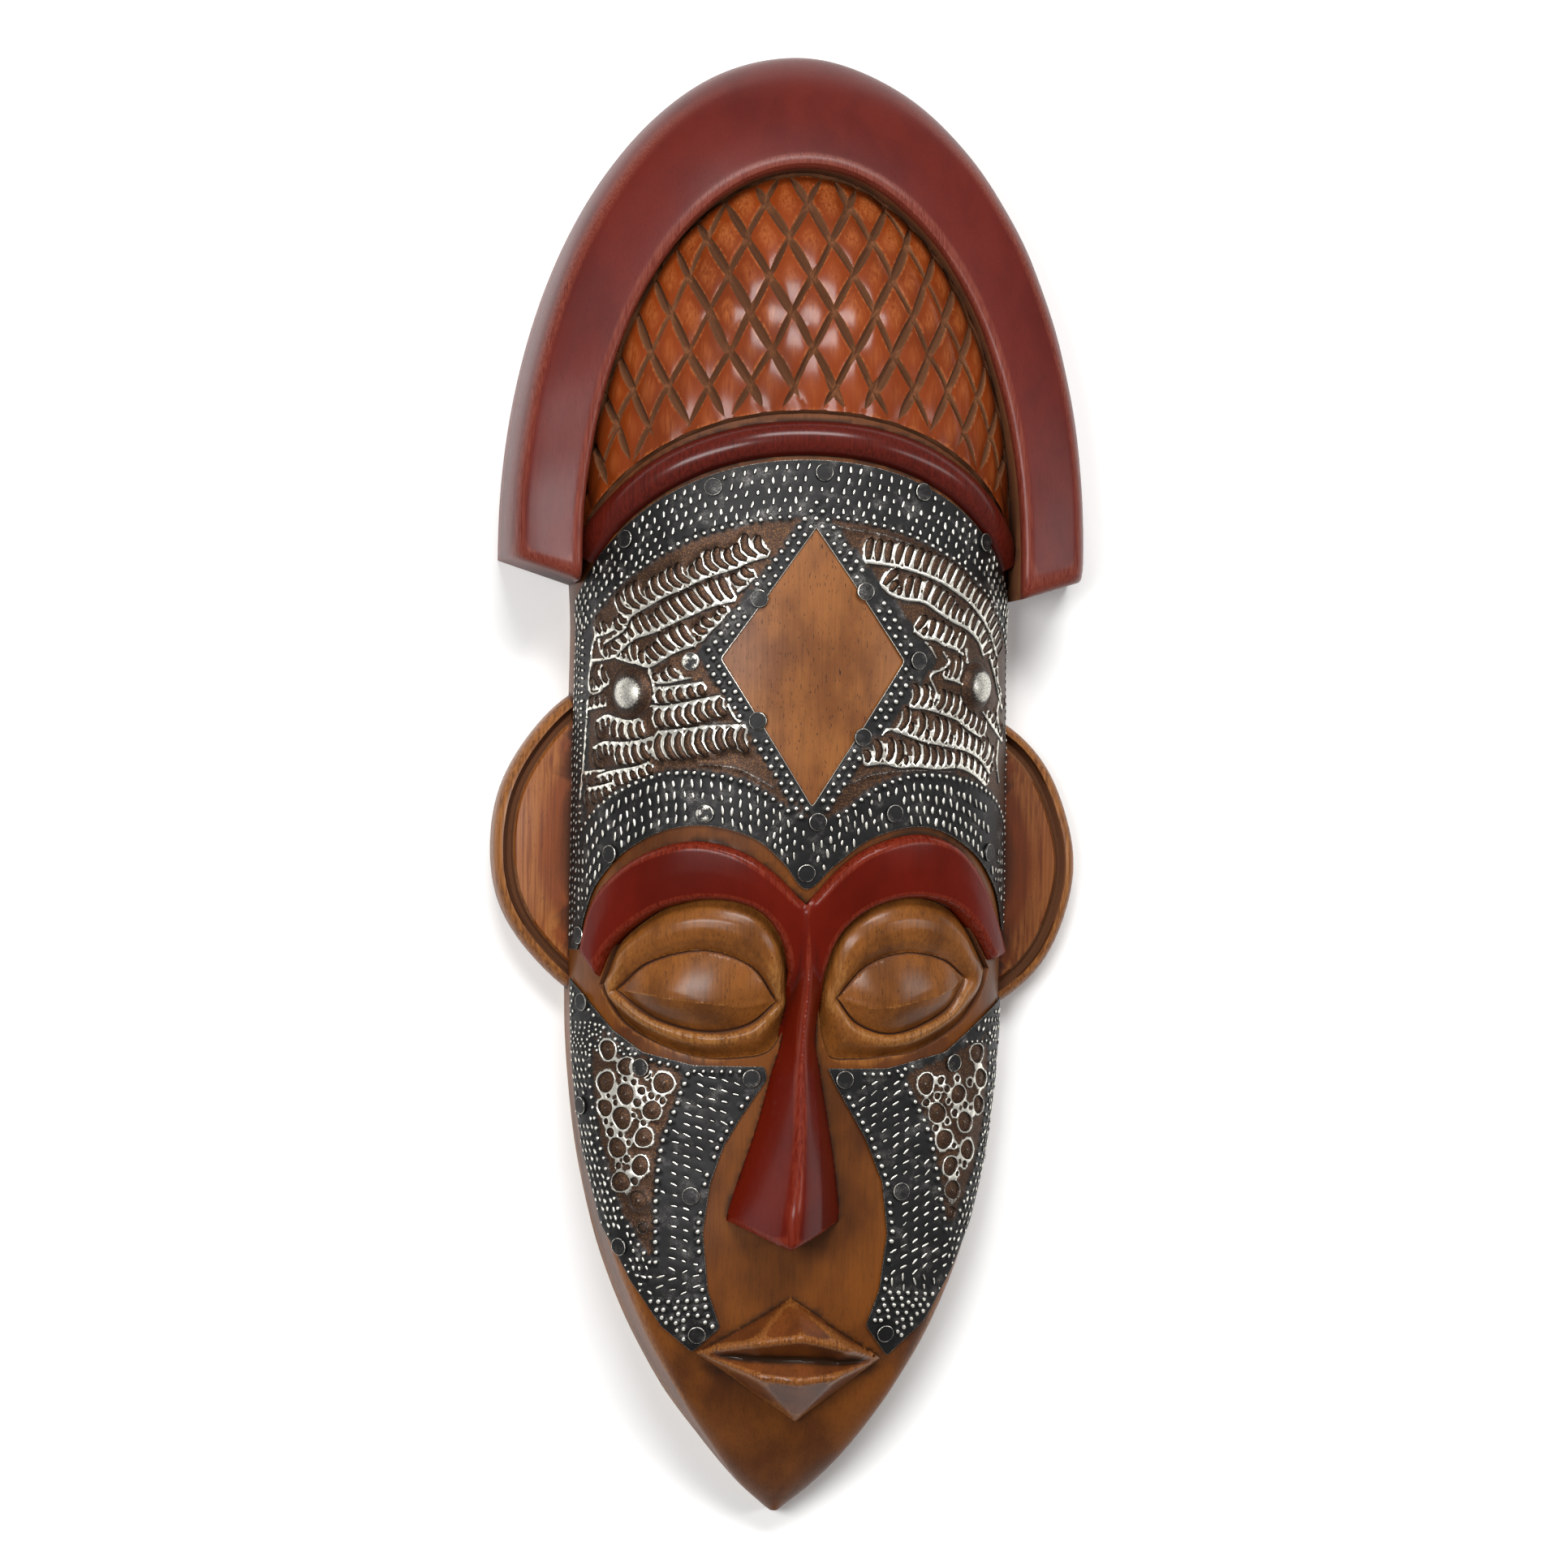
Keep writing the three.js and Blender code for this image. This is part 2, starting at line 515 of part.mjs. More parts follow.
function foreheadSheet() {
  const top = [];
  for (let x = SHEET.reach; x >= -SHEET.reach; x -= SHEET.step) top.push([x, archAt(SHEET_TOP, x)]);
  let sheet = wholeSheet.intersect(prism([...FOREHEAD_FOOT, ...top], SHEET.foot, ABOVE));
  sheet = sheet.subtract(prism(WINDOW, 0, ABOVE));
  [BOSSES.left, BOSSES.right].forEach(({ x, y }) => {
    const profile = BOSSES.profile.map(([out, up]) => (
      new THREE.Vector2(out * BOSSES.radius, up * BOSSES.rise)
    ));
    const cap = new THREE.LatheGeometry(profile, BOSSES.steps).rotateX(Math.PI / 2);
    sheet = sheet.add(solid(standing(cap, x, y, SHEET.gap + SHEET.thick / 2)));
  });
  return sheet;
}

// Moves a geometry that stands on z = 0 to a place on the head, upright on its surface.
function standing(geometry, x, y, lift) {
  const angle = angleAt(x, y);
  const turn = new THREE.Quaternion().setFromUnitVectors(new THREE.Vector3(0, 0, 1), headNormal(angle, y));
  const place = liftedPoint(angle, y, lift);
  return geometry.applyMatrix4(new THREE.Matrix4().compose(place, turn, new THREE.Vector3(1, 1, 1)));
}

function nails(side) {
  return NAILS[side].map(([x, y], k) => {
    const disc = new THREE.CylinderGeometry(NAIL.top, NAIL.radius, NAIL.thick, NAIL.sides);
    disc.rotateX(Math.PI / 2).translate(0, 0, NAIL.thick / 2);
    const placed = standing(disc, x, y, SHEET.gap + SHEET.thick + NAIL.gap);
    return namedMesh(`nail_${side}_${String(k + 1).padStart(2, "0")}`, solid(placed), FINISH.nail);
  });
}

const mask = new THREE.Group();
mask.add(namedMesh("carved_wood", carvedWood(), FINISH.wood));
mask.add(namedMesh("forehead_sheet", foreheadSheet(), FINISH.sheet));
Object.keys(CHEEKS).forEach((side) => {
  const sheet = wholeSheet.intersect(prism(CHEEKS[side], SHEET.foot, ABOVE));
  mask.add(namedMesh(`cheek_sheet_${side}`, sheet, FINISH.sheet));
});
Object.keys(NAILS).forEach((side) => mask.add(...nails(side)));

export default mask;
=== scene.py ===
"""A carved West African face mask of pale wood under coloured stains, lying on its back.

The whole mask is one carving: hood, latticed hair dome, ridge band, forehead, ears, brow, closed
eyes, nose, lips and chin. Three embossed aluminium sheets are pinned to it by flat-headed nails.
Sizes are in millimetres, +X is the viewer's right, +Y runs to the crest and +Z out of the face.
"""

import logging
import math
from collections.abc import Sequence
from dataclasses import dataclass
from enum import Enum

import bpy
import numpy as np
from mathutils import Matrix, Vector
from mathutils.geometry import delaunay_2d_cdt
from mathutils.kdtree import KDTree


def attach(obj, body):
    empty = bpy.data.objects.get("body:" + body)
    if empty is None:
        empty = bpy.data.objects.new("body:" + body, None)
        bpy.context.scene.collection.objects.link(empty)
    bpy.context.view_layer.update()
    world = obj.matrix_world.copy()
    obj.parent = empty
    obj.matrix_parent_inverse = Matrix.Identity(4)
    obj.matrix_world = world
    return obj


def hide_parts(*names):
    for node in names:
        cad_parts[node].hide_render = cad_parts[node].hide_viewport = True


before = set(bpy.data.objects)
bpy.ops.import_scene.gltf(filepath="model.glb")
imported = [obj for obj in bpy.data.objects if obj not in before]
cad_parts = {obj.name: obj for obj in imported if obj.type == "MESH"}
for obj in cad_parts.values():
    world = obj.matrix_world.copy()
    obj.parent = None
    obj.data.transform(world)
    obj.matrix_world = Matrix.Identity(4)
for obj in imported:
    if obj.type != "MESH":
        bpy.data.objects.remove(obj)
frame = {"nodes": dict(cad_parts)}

LOG = logging.getLogger("mask")
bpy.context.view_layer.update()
MM = 0.001  # one millimetre in metres
TINY = 1e-9  # keeps a division off nought
BATCH = 1024  # places that are worked on at once
ROOT = -7.0  # how deep every form is rooted in the head, in millimetres
SMOOTH = {"interpolation_type": "SMOOTHSTEP"}
COLOURS = {"data_type": "RGBA"}
Array = np.ndarray
Piece = bpy.types.Object
Tree = bpy.types.NodeTree
Socket = bpy.types.NodeSocket
Points = tuple[tuple[float, float], ...]
Rows = Sequence[Sequence[float]]


class Side(Enum):
    """The two sides of the mask as the viewer sees them."""

    LEFT = -1
    RIGHT = 1


class Sheen(Enum):
    """How a stained surface was rubbed up: roughness, specular level, coat and the coat's roughness."""

    GLOSS = (0.42, 0.05, 0.4, 0.2)
    WAXED = (0.44, 0.06, 0.38, 0.24)
    LACQUER = (0.42, 0.04, 0.22, 0.2)
    SATIN = (0.48, 0.12, 0.22, 0.25)
    RUBBED = (0.5, 0.2, 0.18, 0.33)
    BARE = (0.8, 0.2, 0.0, 0.5)


class Step(Enum):
    """What a form or a tool does to the carving."""

    ADD = "UNION"
    CUT = "DIFFERENCE"


class NailTone(Enum):
    """How much of a nail's blackening is rubbed off."""

    BLACKENED = 0.06
    GREY = 0.42
    BRIGHT = 0.6


def linear(code: str) -> tuple[float, float, float, float]:
    """Turns an sRGB hex colour into a linear one.

    Args:
        code: Six hex digits after a hash sign.

    Returns:
        Red, green, blue and an alpha of one.
    """
    shares = [int(code[k:k + 2], 16) / 255 for k in (1, 3, 5)]
    straight = [s / 12.92 if s <= 0.04045 else ((s + 0.055) / 1.055) ** 2.4 for s in shares]
    return (*straight, 1.0)


def ease(share: Array) -> Array:
    """Smooth step from 0 to 1 of a share, held outside that range."""
    held = np.clip(share, 0, 1)
    return held * held * (3 - 2 * held)


def smooth_path(points: Rows, step: float, closed: bool = False) -> Array:
    """Runs a curve through points and cuts it into even steps.

    Args:
        points: The places that the curve passes.
        step: Length of a step.
        closed: Whether the curve comes back to its first point.

    Returns:
        One row for each place on the curve. A closed curve doesn't repeat its first place.
    """
    knots = np.array(points, float)
    ends = (knots[-1:], knots[:2]) if closed else (2 * knots[:1] - knots[1:2], 2 * knots[-1:] - knots[-2:-1])
    held = np.concatenate([ends[0], knots, ends[1]])
    shares = np.linspace(0, 1, 12, endpoint=False)[:, None]
    pieces = []
    for a, b, c, d in zip(held, held[1:], held[2:], held[3:]):
        bend = (2 * a - 5 * b + 4 * c - d) * shares ** 2 + (3 * b - a - 3 * c + d) * shares ** 3
        pieces.append(b + 0.5 * ((c - a) * shares + bend))
    pieces.append(knots[:1] if closed else knots[-1:])
    return even_steps(np.concatenate(pieces), step, closed)


def even_steps(line: Array, step: float, closed: bool = False) -> Array:
    """Cuts a line of many points into even steps.

    Args:
        line: The points of the line, with the first repeated at the end of a closed one.
        step: Length of a step.
        closed: Whether the last place is left off because it is the first.

    Returns:
        The places at even steps.
    """
    gone = np.concatenate([[0], np.cumsum(np.linalg.norm(np.diff(line, axis=0), axis=1))])
    count = max(2, round(gone[-1] / step))
    at = np.linspace(0, gone[-1], count + 1)
    cut = np.stack([np.interp(at, gone, column) for column in line.T], axis=1)
    return cut[:-1] if closed else cut


def edge_gaps(places: Array, starts: Array, runs: Array) -> Array:
    """Distance from each place to the nearest of many straight edges.

    Args:
        places: Rows of two coordinates.
        starts: Where each edge starts.
        runs: The way along each edge to its end.

    Returns:
        The distances.
    """
    lengths = np.maximum((runs ** 2).sum(axis=1), TINY)
    away = places[:, None] - starts[None]
    shares = np.clip((away * runs).sum(axis=2) / lengths, 0, 1)
    gaps = away - shares[:, :, None] * runs
    return np.sqrt((gaps ** 2).sum(axis=2).min(axis=1))


def signed_distance(places: Array, outline: Array) -> Array:
    """How far places lie inside a closed outline.

    Args:
        places: Rows of two coordinates.
        outline: The outline's corners in order.

    Returns:
        The distance to the outline, positive inside and negative outside.
    """
    ends = np.roll(outline, -1, axis=0)
    runs = ends - outline
    rises = np.where(np.abs(runs[:, 1]) > TINY, runs[:, 1], TINY)
    found = np.empty(len(places))
    for first in range(0, len(places), BATCH):
        part = places[first:first + BATCH]
        x, y = part[:, :1], part[:, 1:2]
        spans = (outline[:, 1] > y) != (ends[:, 1] > y)
        beside = x < outline[:, 0] + (y - outline[:, 1]) * runs[:, 0] / rises
        inside = (spans & beside).sum(axis=1) % 2 == 1
        gaps = edge_gaps(part, outline, runs)
        found[first:first + BATCH] = np.where(inside, gaps, -gaps)
    return found


def line_distance(places: Array, line: Array) -> Array:
    """Distance of places to an open line of points.

    Args:
        places: Rows of two coordinates.
        line: The line's points in order.

    Returns:
        The distances.
    """
    runs = np.diff(line, axis=0)
    parts = [edge_gaps(places[k:k + BATCH], line[:-1], runs) for k in range(0, len(places), BATCH)]
    return np.concatenate(parts)


def spread(first: Array, second: Array) -> float:
    """Least distance between the places of two sets."""
    away = first[:, None] - second[None]
    return float(np.sqrt((away ** 2).sum(axis=2).min()))


def inset(outline: Array, distance: float) -> Array:
    """Moves a closed outline inwards along its own normals.

    Args:
        outline: The outline's corners in order.
        distance: How far in, negative for outwards.

    Returns:
        The moved outline, point for point.
    """
    run = np.roll(outline, -1, axis=0) - np.roll(outline, 1, axis=0)
    aside = pairs(-run[:, 1], run[:, 0])
    aside /= np.maximum(np.linalg.norm(aside, axis=1, keepdims=True), TINY)
    moved = outline + aside * distance
    if signed_distance(moved[:1], outline)[0] * distance < 0:
        moved = outline - aside * distance
    return moved


def hex_fill(outline: Array, pitch: float, clear: float) -> Array:
    """Fills an outline with places on a honeycomb.

    Args:
        outline: A closed outline.
        pitch: Distance between neighbouring places.
        clear: Least distance to the outline.

    Returns:
        The places inside.
    """
    low, high = outline.min(axis=0), outline.max(axis=0)
    rise = pitch * math.sqrt(3) / 2
    rows = np.arange(low[1], high[1] + rise, rise)
    columns = np.arange(low[0] - pitch, high[0] + pitch, pitch)
    x, y = np.meshgrid(columns, rows)
    x[1::2] += pitch / 2
    places = pairs(x.ravel(), y.ravel())
    return places[signed_distance(places, outline) > clear]


def only(obj: Piece) -> Piece:
    """Selects one object alone, makes it active and gives it back.

    Args:
        obj: The object.

    Returns:
        The same object.
    """
    bpy.ops.object.select_all(action="DESELECT")
    obj.select_set(True)
    bpy.context.view_layer.objects.active = obj
    return obj


def unit(ways: Array) -> Array:
    """Ways of length one, row by row."""
    return ways / np.linalg.norm(ways, axis=1, keepdims=True)


def circle(count: int) -> Array:
    """Places of a circle of radius one in even steps."""
    turns = np.linspace(0, 2 * math.pi, count, endpoint=False)
    return pairs(np.cos(turns), np.sin(turns))


def pairs(*columns: Array) -> Array:
    """Columns of coordinates as rows of places."""
    return np.stack(columns, axis=1)


def looped(corners: Rows) -> Array:
    """Corners in order, with the first once more at the end."""
    return np.array([*corners, corners[0]], float)


def paint(obj: Piece, zones: Array) -> None:
    """Gives each face the finish of its zone."""
    obj.data.polygons.foreach_set("material_index", zones.astype(np.int32))


def read_rows(items: Sequence, name: str) -> Array:
    """Reads a property of three numbers from each vertex or face of a mesh.

    Args:
        items: The vertices or faces.
        name: The property's name.

    Returns:
        One row for each.
    """
    values = np.empty(len(items) * 3, np.float32)
    items.foreach_get(name, values)
    return values.reshape(-1, 3)


def face_centres(obj: Piece) -> Array:
    """The middles of an object's faces in millimetres."""
    return read_rows(obj.data.polygons, "center") / MM


def coordinates(obj: Piece) -> Array:
    """The places of an object's vertices in millimetres."""
    return read_rows(obj.data.vertices, "co").astype(float) / MM


def move_to(obj: Piece, places: Array) -> None:
    """Puts an object's vertices at places given in millimetres."""
    obj.data.vertices.foreach_set("co", (places * MM).astype(np.float32).ravel())
    obj.data.update()


def loft(name: str, rings: Array) -> Piece:
    """Shapes a grid into a closed solid that runs through rings of points.

    Args:
        name: The new object's name.
        rings: Places in millimetres, by ring, point of the ring and coordinate.

    Returns:
        The solid, with both ends filled and its faces turned outwards.
    """
    count, around = rings.shape[:2]
    bpy.ops.object.select_all(action="DESELECT")
    bpy.ops.mesh.primitive_grid_add(x_subdivisions=around, y_subdivisions=count - 1, size=MM)
    obj = bpy.context.object
    obj.name = name
    move_to(obj, np.concatenate([rings, rings[:, :1]], axis=1).reshape(-1, 3))
    bpy.ops.object.mode_set(mode="EDIT")
    bpy.ops.mesh.select_all(action="SELECT")
    bpy.ops.mesh.remove_doubles(threshold=2e-7)
    bpy.ops.mesh.fill_holes(sides=0)
    bpy.ops.mesh.select_all(action="SELECT")
    bpy.ops.mesh.normals_make_consistent(inside=False)
    bpy.ops.object.mode_set(mode="OBJECT")
    return obj


def rods(name: str, cuts: Sequence[Array]) -> Piece:
    """Makes many small closed solids through rings of points as one mesh.

    Hundreds of gouge cuts would each need a primitive and edit mode, so their faces are listed.

    Args:
        name: The new object's name.
        cuts: For each solid, places in millimetres by ring, point of the ring and coordinate.

    Returns:
        The solids as one object.
    """
    places, faces = [], []
    for rings in cuts:
        count, around = rings.shape[:2]
        base = sum(len(part) for part in places)
        places.append(rings.reshape(-1, 3))
        for i in range(count - 1):
            for j in range(around):
                a, b = base + i * around + j, base + i * around + (j + 1) % around
                faces.append((a, b, b + around, a + around))
        faces.append(tuple(range(base + around - 1, base - 1, -1)))
        faces.append(tuple(range(base + (count - 1) * around, base + count * around)))
    mesh = bpy.data.meshes.new(name)
    mesh.from_pydata((np.concatenate(places) * MM).tolist(), [], faces)
    obj = bpy.data.objects.new(name, mesh)
    bpy.context.scene.collection.objects.link(obj)
    only(obj)
    bpy.ops.object.mode_set(mode="EDIT")
    bpy.ops.mesh.select_all(action="SELECT")
    bpy.ops.mesh.normals_make_consistent(inside=False)
    bpy.ops.object.mode_set(mode="OBJECT")
    return obj


def shell(name: str, top: Array, under: Array, faces: Array) -> Piece:
    """Joins two layers of the same triangles into one closed solid.

    An outline with punched or carved detail can't be had from a primitive and edit tools, so
    its mesh is made from the triangles themselves.

    Args:
        name: The new object's name.
        top: Places of the outer layer in millimetres.
        under: Places of the inner layer, point for point.
        faces: Triangles of the outer layer, anticlockwise seen from outside.

    Returns:
        The solid, its sides closed along the outline.
    """
    count = len(top)
    edges = np.concatenate([faces[:, [0, 1]], faces[:, [1, 2]], faces[:, [2, 0]]])
    known = set(map(tuple, edges.tolist()))
    rim = [(a, b) for a, b in known if (b, a) not in known]
    walls = [(b, a, a + count, b + count) for a, b in rim]
    mesh = bpy.data.meshes.new(name)
    triangles = faces.tolist() + (faces[:, ::-1] + count).tolist()
    mesh.from_pydata((np.concatenate([top, under]) * MM).tolist(), [], triangles + walls)
    mesh.update()
    obj = bpy.data.objects.new(name, mesh)
    bpy.context.scene.collection.objects.link(obj)
    return obj


def combine(body: Piece, tool: Piece, how: Step) -> None:
    """Joins a tool to a body or cuts it away, and deletes the tool.

    Args:
        body: The object that changes.
        tool: The object that is used up.
        how: Whether it is joined or cut away.
    """
    step = body.modifiers.new("carve", "BOOLEAN")
    step.operation = how.value
    step.solver = "MANIFOLD"
    step.material_mode = "TRANSFER"
    step.object = tool
    only(body)
    bpy.ops.object.modifier_apply(modifier=step.name)
    spent = tool.data
    bpy.data.objects.remove(tool)
    bpy.data.meshes.remove(spent)


def store(obj: Piece, name: str, values: Array) -> None:
    """Keeps one number for each vertex of an object as a named attribute."""
    layer = obj.data.attributes.new(name, "FLOAT", "POINT")
    layer.data.foreach_set("value", np.asarray(values, np.float32))


class Stations:
    """Sizes that run smoothly between stations and never overshoot them."""

    def __init__(self, names: str, rows: Rows) -> None:
        """Keeps the stations.

        Args:
            names: The sizes' names, in the order of the columns after the first.
            rows: One row for each station, its place first.
        """
        table = np.array(rows, float)
        self.places = table[:, 0]
        self.columns = dict(zip(names.split(), table[:, 1:].T))
        self.slopes = {name: self._slopes(column) for name, column in self.columns.items()}

    def _slopes(self, column: Array) -> Array:
        """Slope of one size at each station: the harmonic mean of the two beside it.

        Args:
            column: The size at each station.

        Returns:
            The slopes.
        """
        steps = np.diff(column) / np.diff(self.places)
        before, after = steps[:-1], steps[1:]
        total = np.where(np.abs(before + after) < TINY, 1, before + after)
        inner = np.where(before * after > 0, 2 * before * after / total, 0)
        return np.concatenate([steps[:1], inner, steps[-1:]])

    def size(self, name: str, at: Array) -> Array:
        """One size at any places.

        Args:
            name: The size's name.
            at: Places, held between the first and the last station.

        Returns:
            The size at each place.
        """
        held = np.clip(np.asarray(at, float), self.places[0], self.places[-1])
        i = np.clip(np.searchsorted(self.places, held, side="right") - 1, 0, len(self.places) - 2)
        span = self.places[i + 1] - self.places[i]
        t = (held - self.places[i]) / span
        values, slopes = self.columns[name], self.slopes[name]
        start = (2 * t ** 3 - 3 * t ** 2 + 1) * values[i] + (t ** 3 - 2 * t ** 2 + t) * span * slopes[i]
        return start + (3 * t ** 2 - 2 * t ** 3) * values[i + 1] + (t ** 3 - t ** 2) * span * slopes[i + 1]


@dataclass(frozen=True)
class Arch:
    """A line cut by a slanted plane, seen from the front: its top and its drop at the side."""

    top: float
    drop: float
    half: float = 75.0
    power: float = 2.1

    def height(self, x: Array) -> Array:
        """Height of the arch at each x."""
        share = np.minimum(np.abs(x) / self.half, 1) ** self.power
        return self.top - self.drop * (1 - np.maximum(0, 1 - share) ** (1 / self.power))


DOME_FOOT = Arch(124, 56)
RIDGE_LINE = Arch(115, 57)
SHEET_TOP = Arch(107.5, 60)
BEAD_LINE = Arch(88.7, 58)


@dataclass(init=False)
class HeadForm:
    """The plain front of the carved head, which every other form sits on."""

    names: str = "half crown flank splay power"
    rows: tuple[tuple[float, ...], ...] = (
        (-249, 1.5, 12, 9, 0.5, 2), (-240, 11.5, 20, 15, 0.6, 2), (-225, 23.5, 30, 24, 1.4, 2),
        (-205, 37, 40, 31, 2.8, 2), (-180, 50.5, 48, 33, 2.6, 2), (-150, 62.3, 51, 27, 1.6, 2),
        (-115, 70, 53, 20, 1, 2), (-80, 73.5, 56, 16, 0.5, 2), (-45, 74.5, 66, 13, 0, 2.05),
        (0, 74.5, 72, 10, 0, 2.1), (50, 74, 74, 10, 0, 2.1), (85, 75.5, 72, 10, 0, 2.1),
        (120, 74, 68, 12, 0, 2.1), (150, 67, 64.5, 14, 0, 2.1), (180, 51, 54, 17, 0, 2.1),
        (200, 30, 42, 20, 0, 2.1), (212, 6, 32, 20, 0, 2),
    )
    turn: float = 0.01
    climb: float = 0.5
    widest: int = 125

    def __init__(self) -> None:
        """Works out how arc lengths and angles go together, row by row."""
        self.stations = Stations(self.names, self.rows)
        self.low, self.high = self.rows[0][0], self.rows[-1][0]
        self.angles = np.linspace(-math.pi / 2, math.pi / 2, 361)
        self.heights = np.arange(self.low, self.high + 1.0)
        points = self.point(self.angles[None, :], self.heights[:, None])
        steps = np.linalg.norm(np.diff(points, axis=1), axis=2)
        arcs = np.concatenate([np.zeros((len(steps), 1)), np.cumsum(steps, axis=1)], axis=1)
        self.arcs = arcs - arcs[:, [180]]
        self.marks = np.arange(-self.widest, self.widest + 0.5, 0.5)
        self.turns = np.array([np.interp(self.marks, row, self.angles) for row in self.arcs])

    def size(self, name: str, y: Array) -> Array:
        """One size of the head at heights y."""
        return self.stations.size(name, y)

    def point(self, angle: Array, y: Array) -> Array:
        """Places on the plain front at angles round the section and heights y.

        Args:
            angle: Angles from the middle line, up to a quarter turn.
            y: Heights.

        Returns:
            Places in millimetres.
        """
        angle, y = np.broadcast_arrays(angle, y)
        bend = 2 / self.size("power", y)
        crown, flank = self.size("crown", y), self.size("flank", y)
        x = self.size("half", y) * np.sign(angle) * np.abs(np.sin(angle)) ** bend
        z = flank + (crown - flank) * np.maximum(0, np.cos(angle)) ** bend
        return np.stack([x, y, z], axis=-1)

    def normal(self, angle: Array, y: Array) -> Array:
        """Outward normals of the plain front.

        Args:
            angle: Angles as for a point.
            y: Heights.

        Returns:
            Directions of length one.
        """
        quarter = math.pi / 2
        right = self.point(np.minimum(angle + self.turn, quarter), y)
        left = self.point(np.maximum(angle - self.turn, -quarter), y)
        upper = self.point(angle, np.minimum(y + self.climb, self.high))
        lower = self.point(angle, np.maximum(y - self.climb, self.low))
        out = np.cross(right - left, upper - lower)
        return out / np.maximum(np.linalg.norm(out, axis=-1, keepdims=True), TINY)

    def angle_at(self, x: Array, y: Array) -> Array:
        """Angle round the section at which the front lies at x."""
        share = np.clip(x / self.size("half", y), -1, 1)
        return np.arcsin(np.sign(share) * np.abs(share) ** (self.size("power", y) / 2))

    def _look_up(self, table: Array, rows: Array, columns: Array) -> Array:
        """Reads a table between its rows and columns.

        Args:
            table: A table of numbers.
            rows: Row of each reading.
            columns: Its column.

        Returns:
            The readings.
        """
        r = np.clip(rows, 0, table.shape[0] - 1.001)
        c = np.clip(columns, 0, table.shape[1] - 1.001)
        i, j = r.astype(int), c.astype(int)
        u, v = r - i, c - j
        near = table[i, j] * (1 - v) + table[i, j + 1] * v
        far = table[i + 1, j] * (1 - v) + table[i + 1, j + 1] * v
        return near * (1 - u) + far * u

    def arc_to(self, angle: Array, y: Array) -> Array:
        """Arc length from the middle line to an angle round the section."""
        column = (angle + math.pi / 2) / (self.angles[1] - self.angles[0])
        return self._look_up(self.arcs, np.asarray(y, float) - self.low, column)

    def flat(self, places: Rows) -> Array:
        """Turns places seen from the front into arc length and height."""
        seen = np.array(places, float)
        return pairs(self.arc_to(self.angle_at(seen[:, 0], seen[:, 1]), seen[:, 1]), seen[:, 1])

    def curve(self, points: Rows, step: float = 1.0) -> Array:
        """A smooth line through places seen from the front, laid out flat."""
        return self.flat(smooth_path(points, step))

    def bend(self, flat: Array) -> Array:
        """Angle round the section at each arc length and height."""
        return self._look_up(self.turns, flat[:, 1] - self.low, (flat[:, 0] + self.widest) * 2)

    def wrap(self, flat: Array, lift: Array | float = 0.0) -> Array:
        """Lays flat places on the head.

        Args:
            flat: Rows of arc length and height.
            lift: How far each place stands off the plain front.

        Returns:
            Places in millimetres.
        """
        angle = self.bend(flat)
        raised = np.broadcast_to(lift, len(flat))[:, None]
        return self.point(angle, flat[:, 1]) + self.normal(angle, flat[:, 1]) * raised

    def side_arc(self, y: Array, z: float) -> Array:
        """Arc length at which the right side of the front has come down to z.

        Args:
            y: Heights.
            z: The depth to reach.

        Returns:
            The arc lengths.
        """
        crown, flank = self.size("crown", y), self.size("flank", y)
        share = np.clip((z - flank) / (crown - flank), 0, 1)
        return self.arc_to(np.arccos(share ** (self.size("power", y) / 2)), y)


HEAD = HeadForm()


class Layout:
    """Places on a sheet or a carved patch laid out flat, with what each carries."""

    def __init__(self, outline: Array, edge: Sequence[float] = (0.0, 0.0, 0.0)) -> None:
        """Starts from the outline.

        Args:
            outline: Rows of arc length and height, anticlockwise or clockwise.
            edge: Lift, polish and brown stain along the outline.
        """
        self.outline = outline
        self.places: list[list[float]] = []
        self.loads: list[tuple[float, ...]] = []
        self.lines: list[tuple[int, int]] = []
        self.ring(outline, edge)

    def ring(self, places: Array, load: Sequence[float] | Array) -> None:
        """Adds a closed line of places.

        Args:
            places: Rows of arc length and height.
            load: Lift, polish and stain, for the whole ring or one row for each place.
        """
        first, count = len(self.places), len(places)
        self.scatter(places, load)
        self.lines += [(first + k, first + (k + 1) % count) for k in range(count)]

    def scatter(self, places: Array, load: Sequence[float] | Array) -> None:
        """Adds loose places, with loads as in a ring."""
        self.places += np.asarray(places, float).tolist()
        self.loads += np.broadcast_to(np.asarray(load, float), (len(places), 3)).tolist()

    def triangles(self) -> tuple[Array, Array, Array]:
        """Joins all places by triangles.

        Returns:
            Flat places, their loads and the triangles.
        """
        flat = [Vector(place) for place in self.places]
        verts, _, faces, origins, _, _ = delaunay_2d_cdt(flat, self.lines, [], 1, 1e-5, True)
        loads = np.array([self.loads[origin[0]] if origin else (0, 0, 0) for origin in origins])
        places, faces = np.array([tuple(v) for v in verts]), np.array(faces)
        kept = signed_distance(places[faces].mean(axis=1), self.outline) > 0
        used, faces = np.unique(faces[kept], return_inverse=True)
        return places[used], loads[used], faces.reshape(-1, 3)


def patch(outline: Array, pitch: float) -> tuple[Array, Array]:
    """Lays out a carved patch of the wood.

    Args:
        outline: Rows of arc length and height.
        pitch: Distance between the places inside.

    Returns:
        Flat places and the triangles between them.
    """
    layout = Layout(outline)
    layout.scatter(hex_fill(outline, pitch, 0.55 * pitch), (0, 0, 0))
    flat, _, faces = layout.triangles()
    return flat, faces


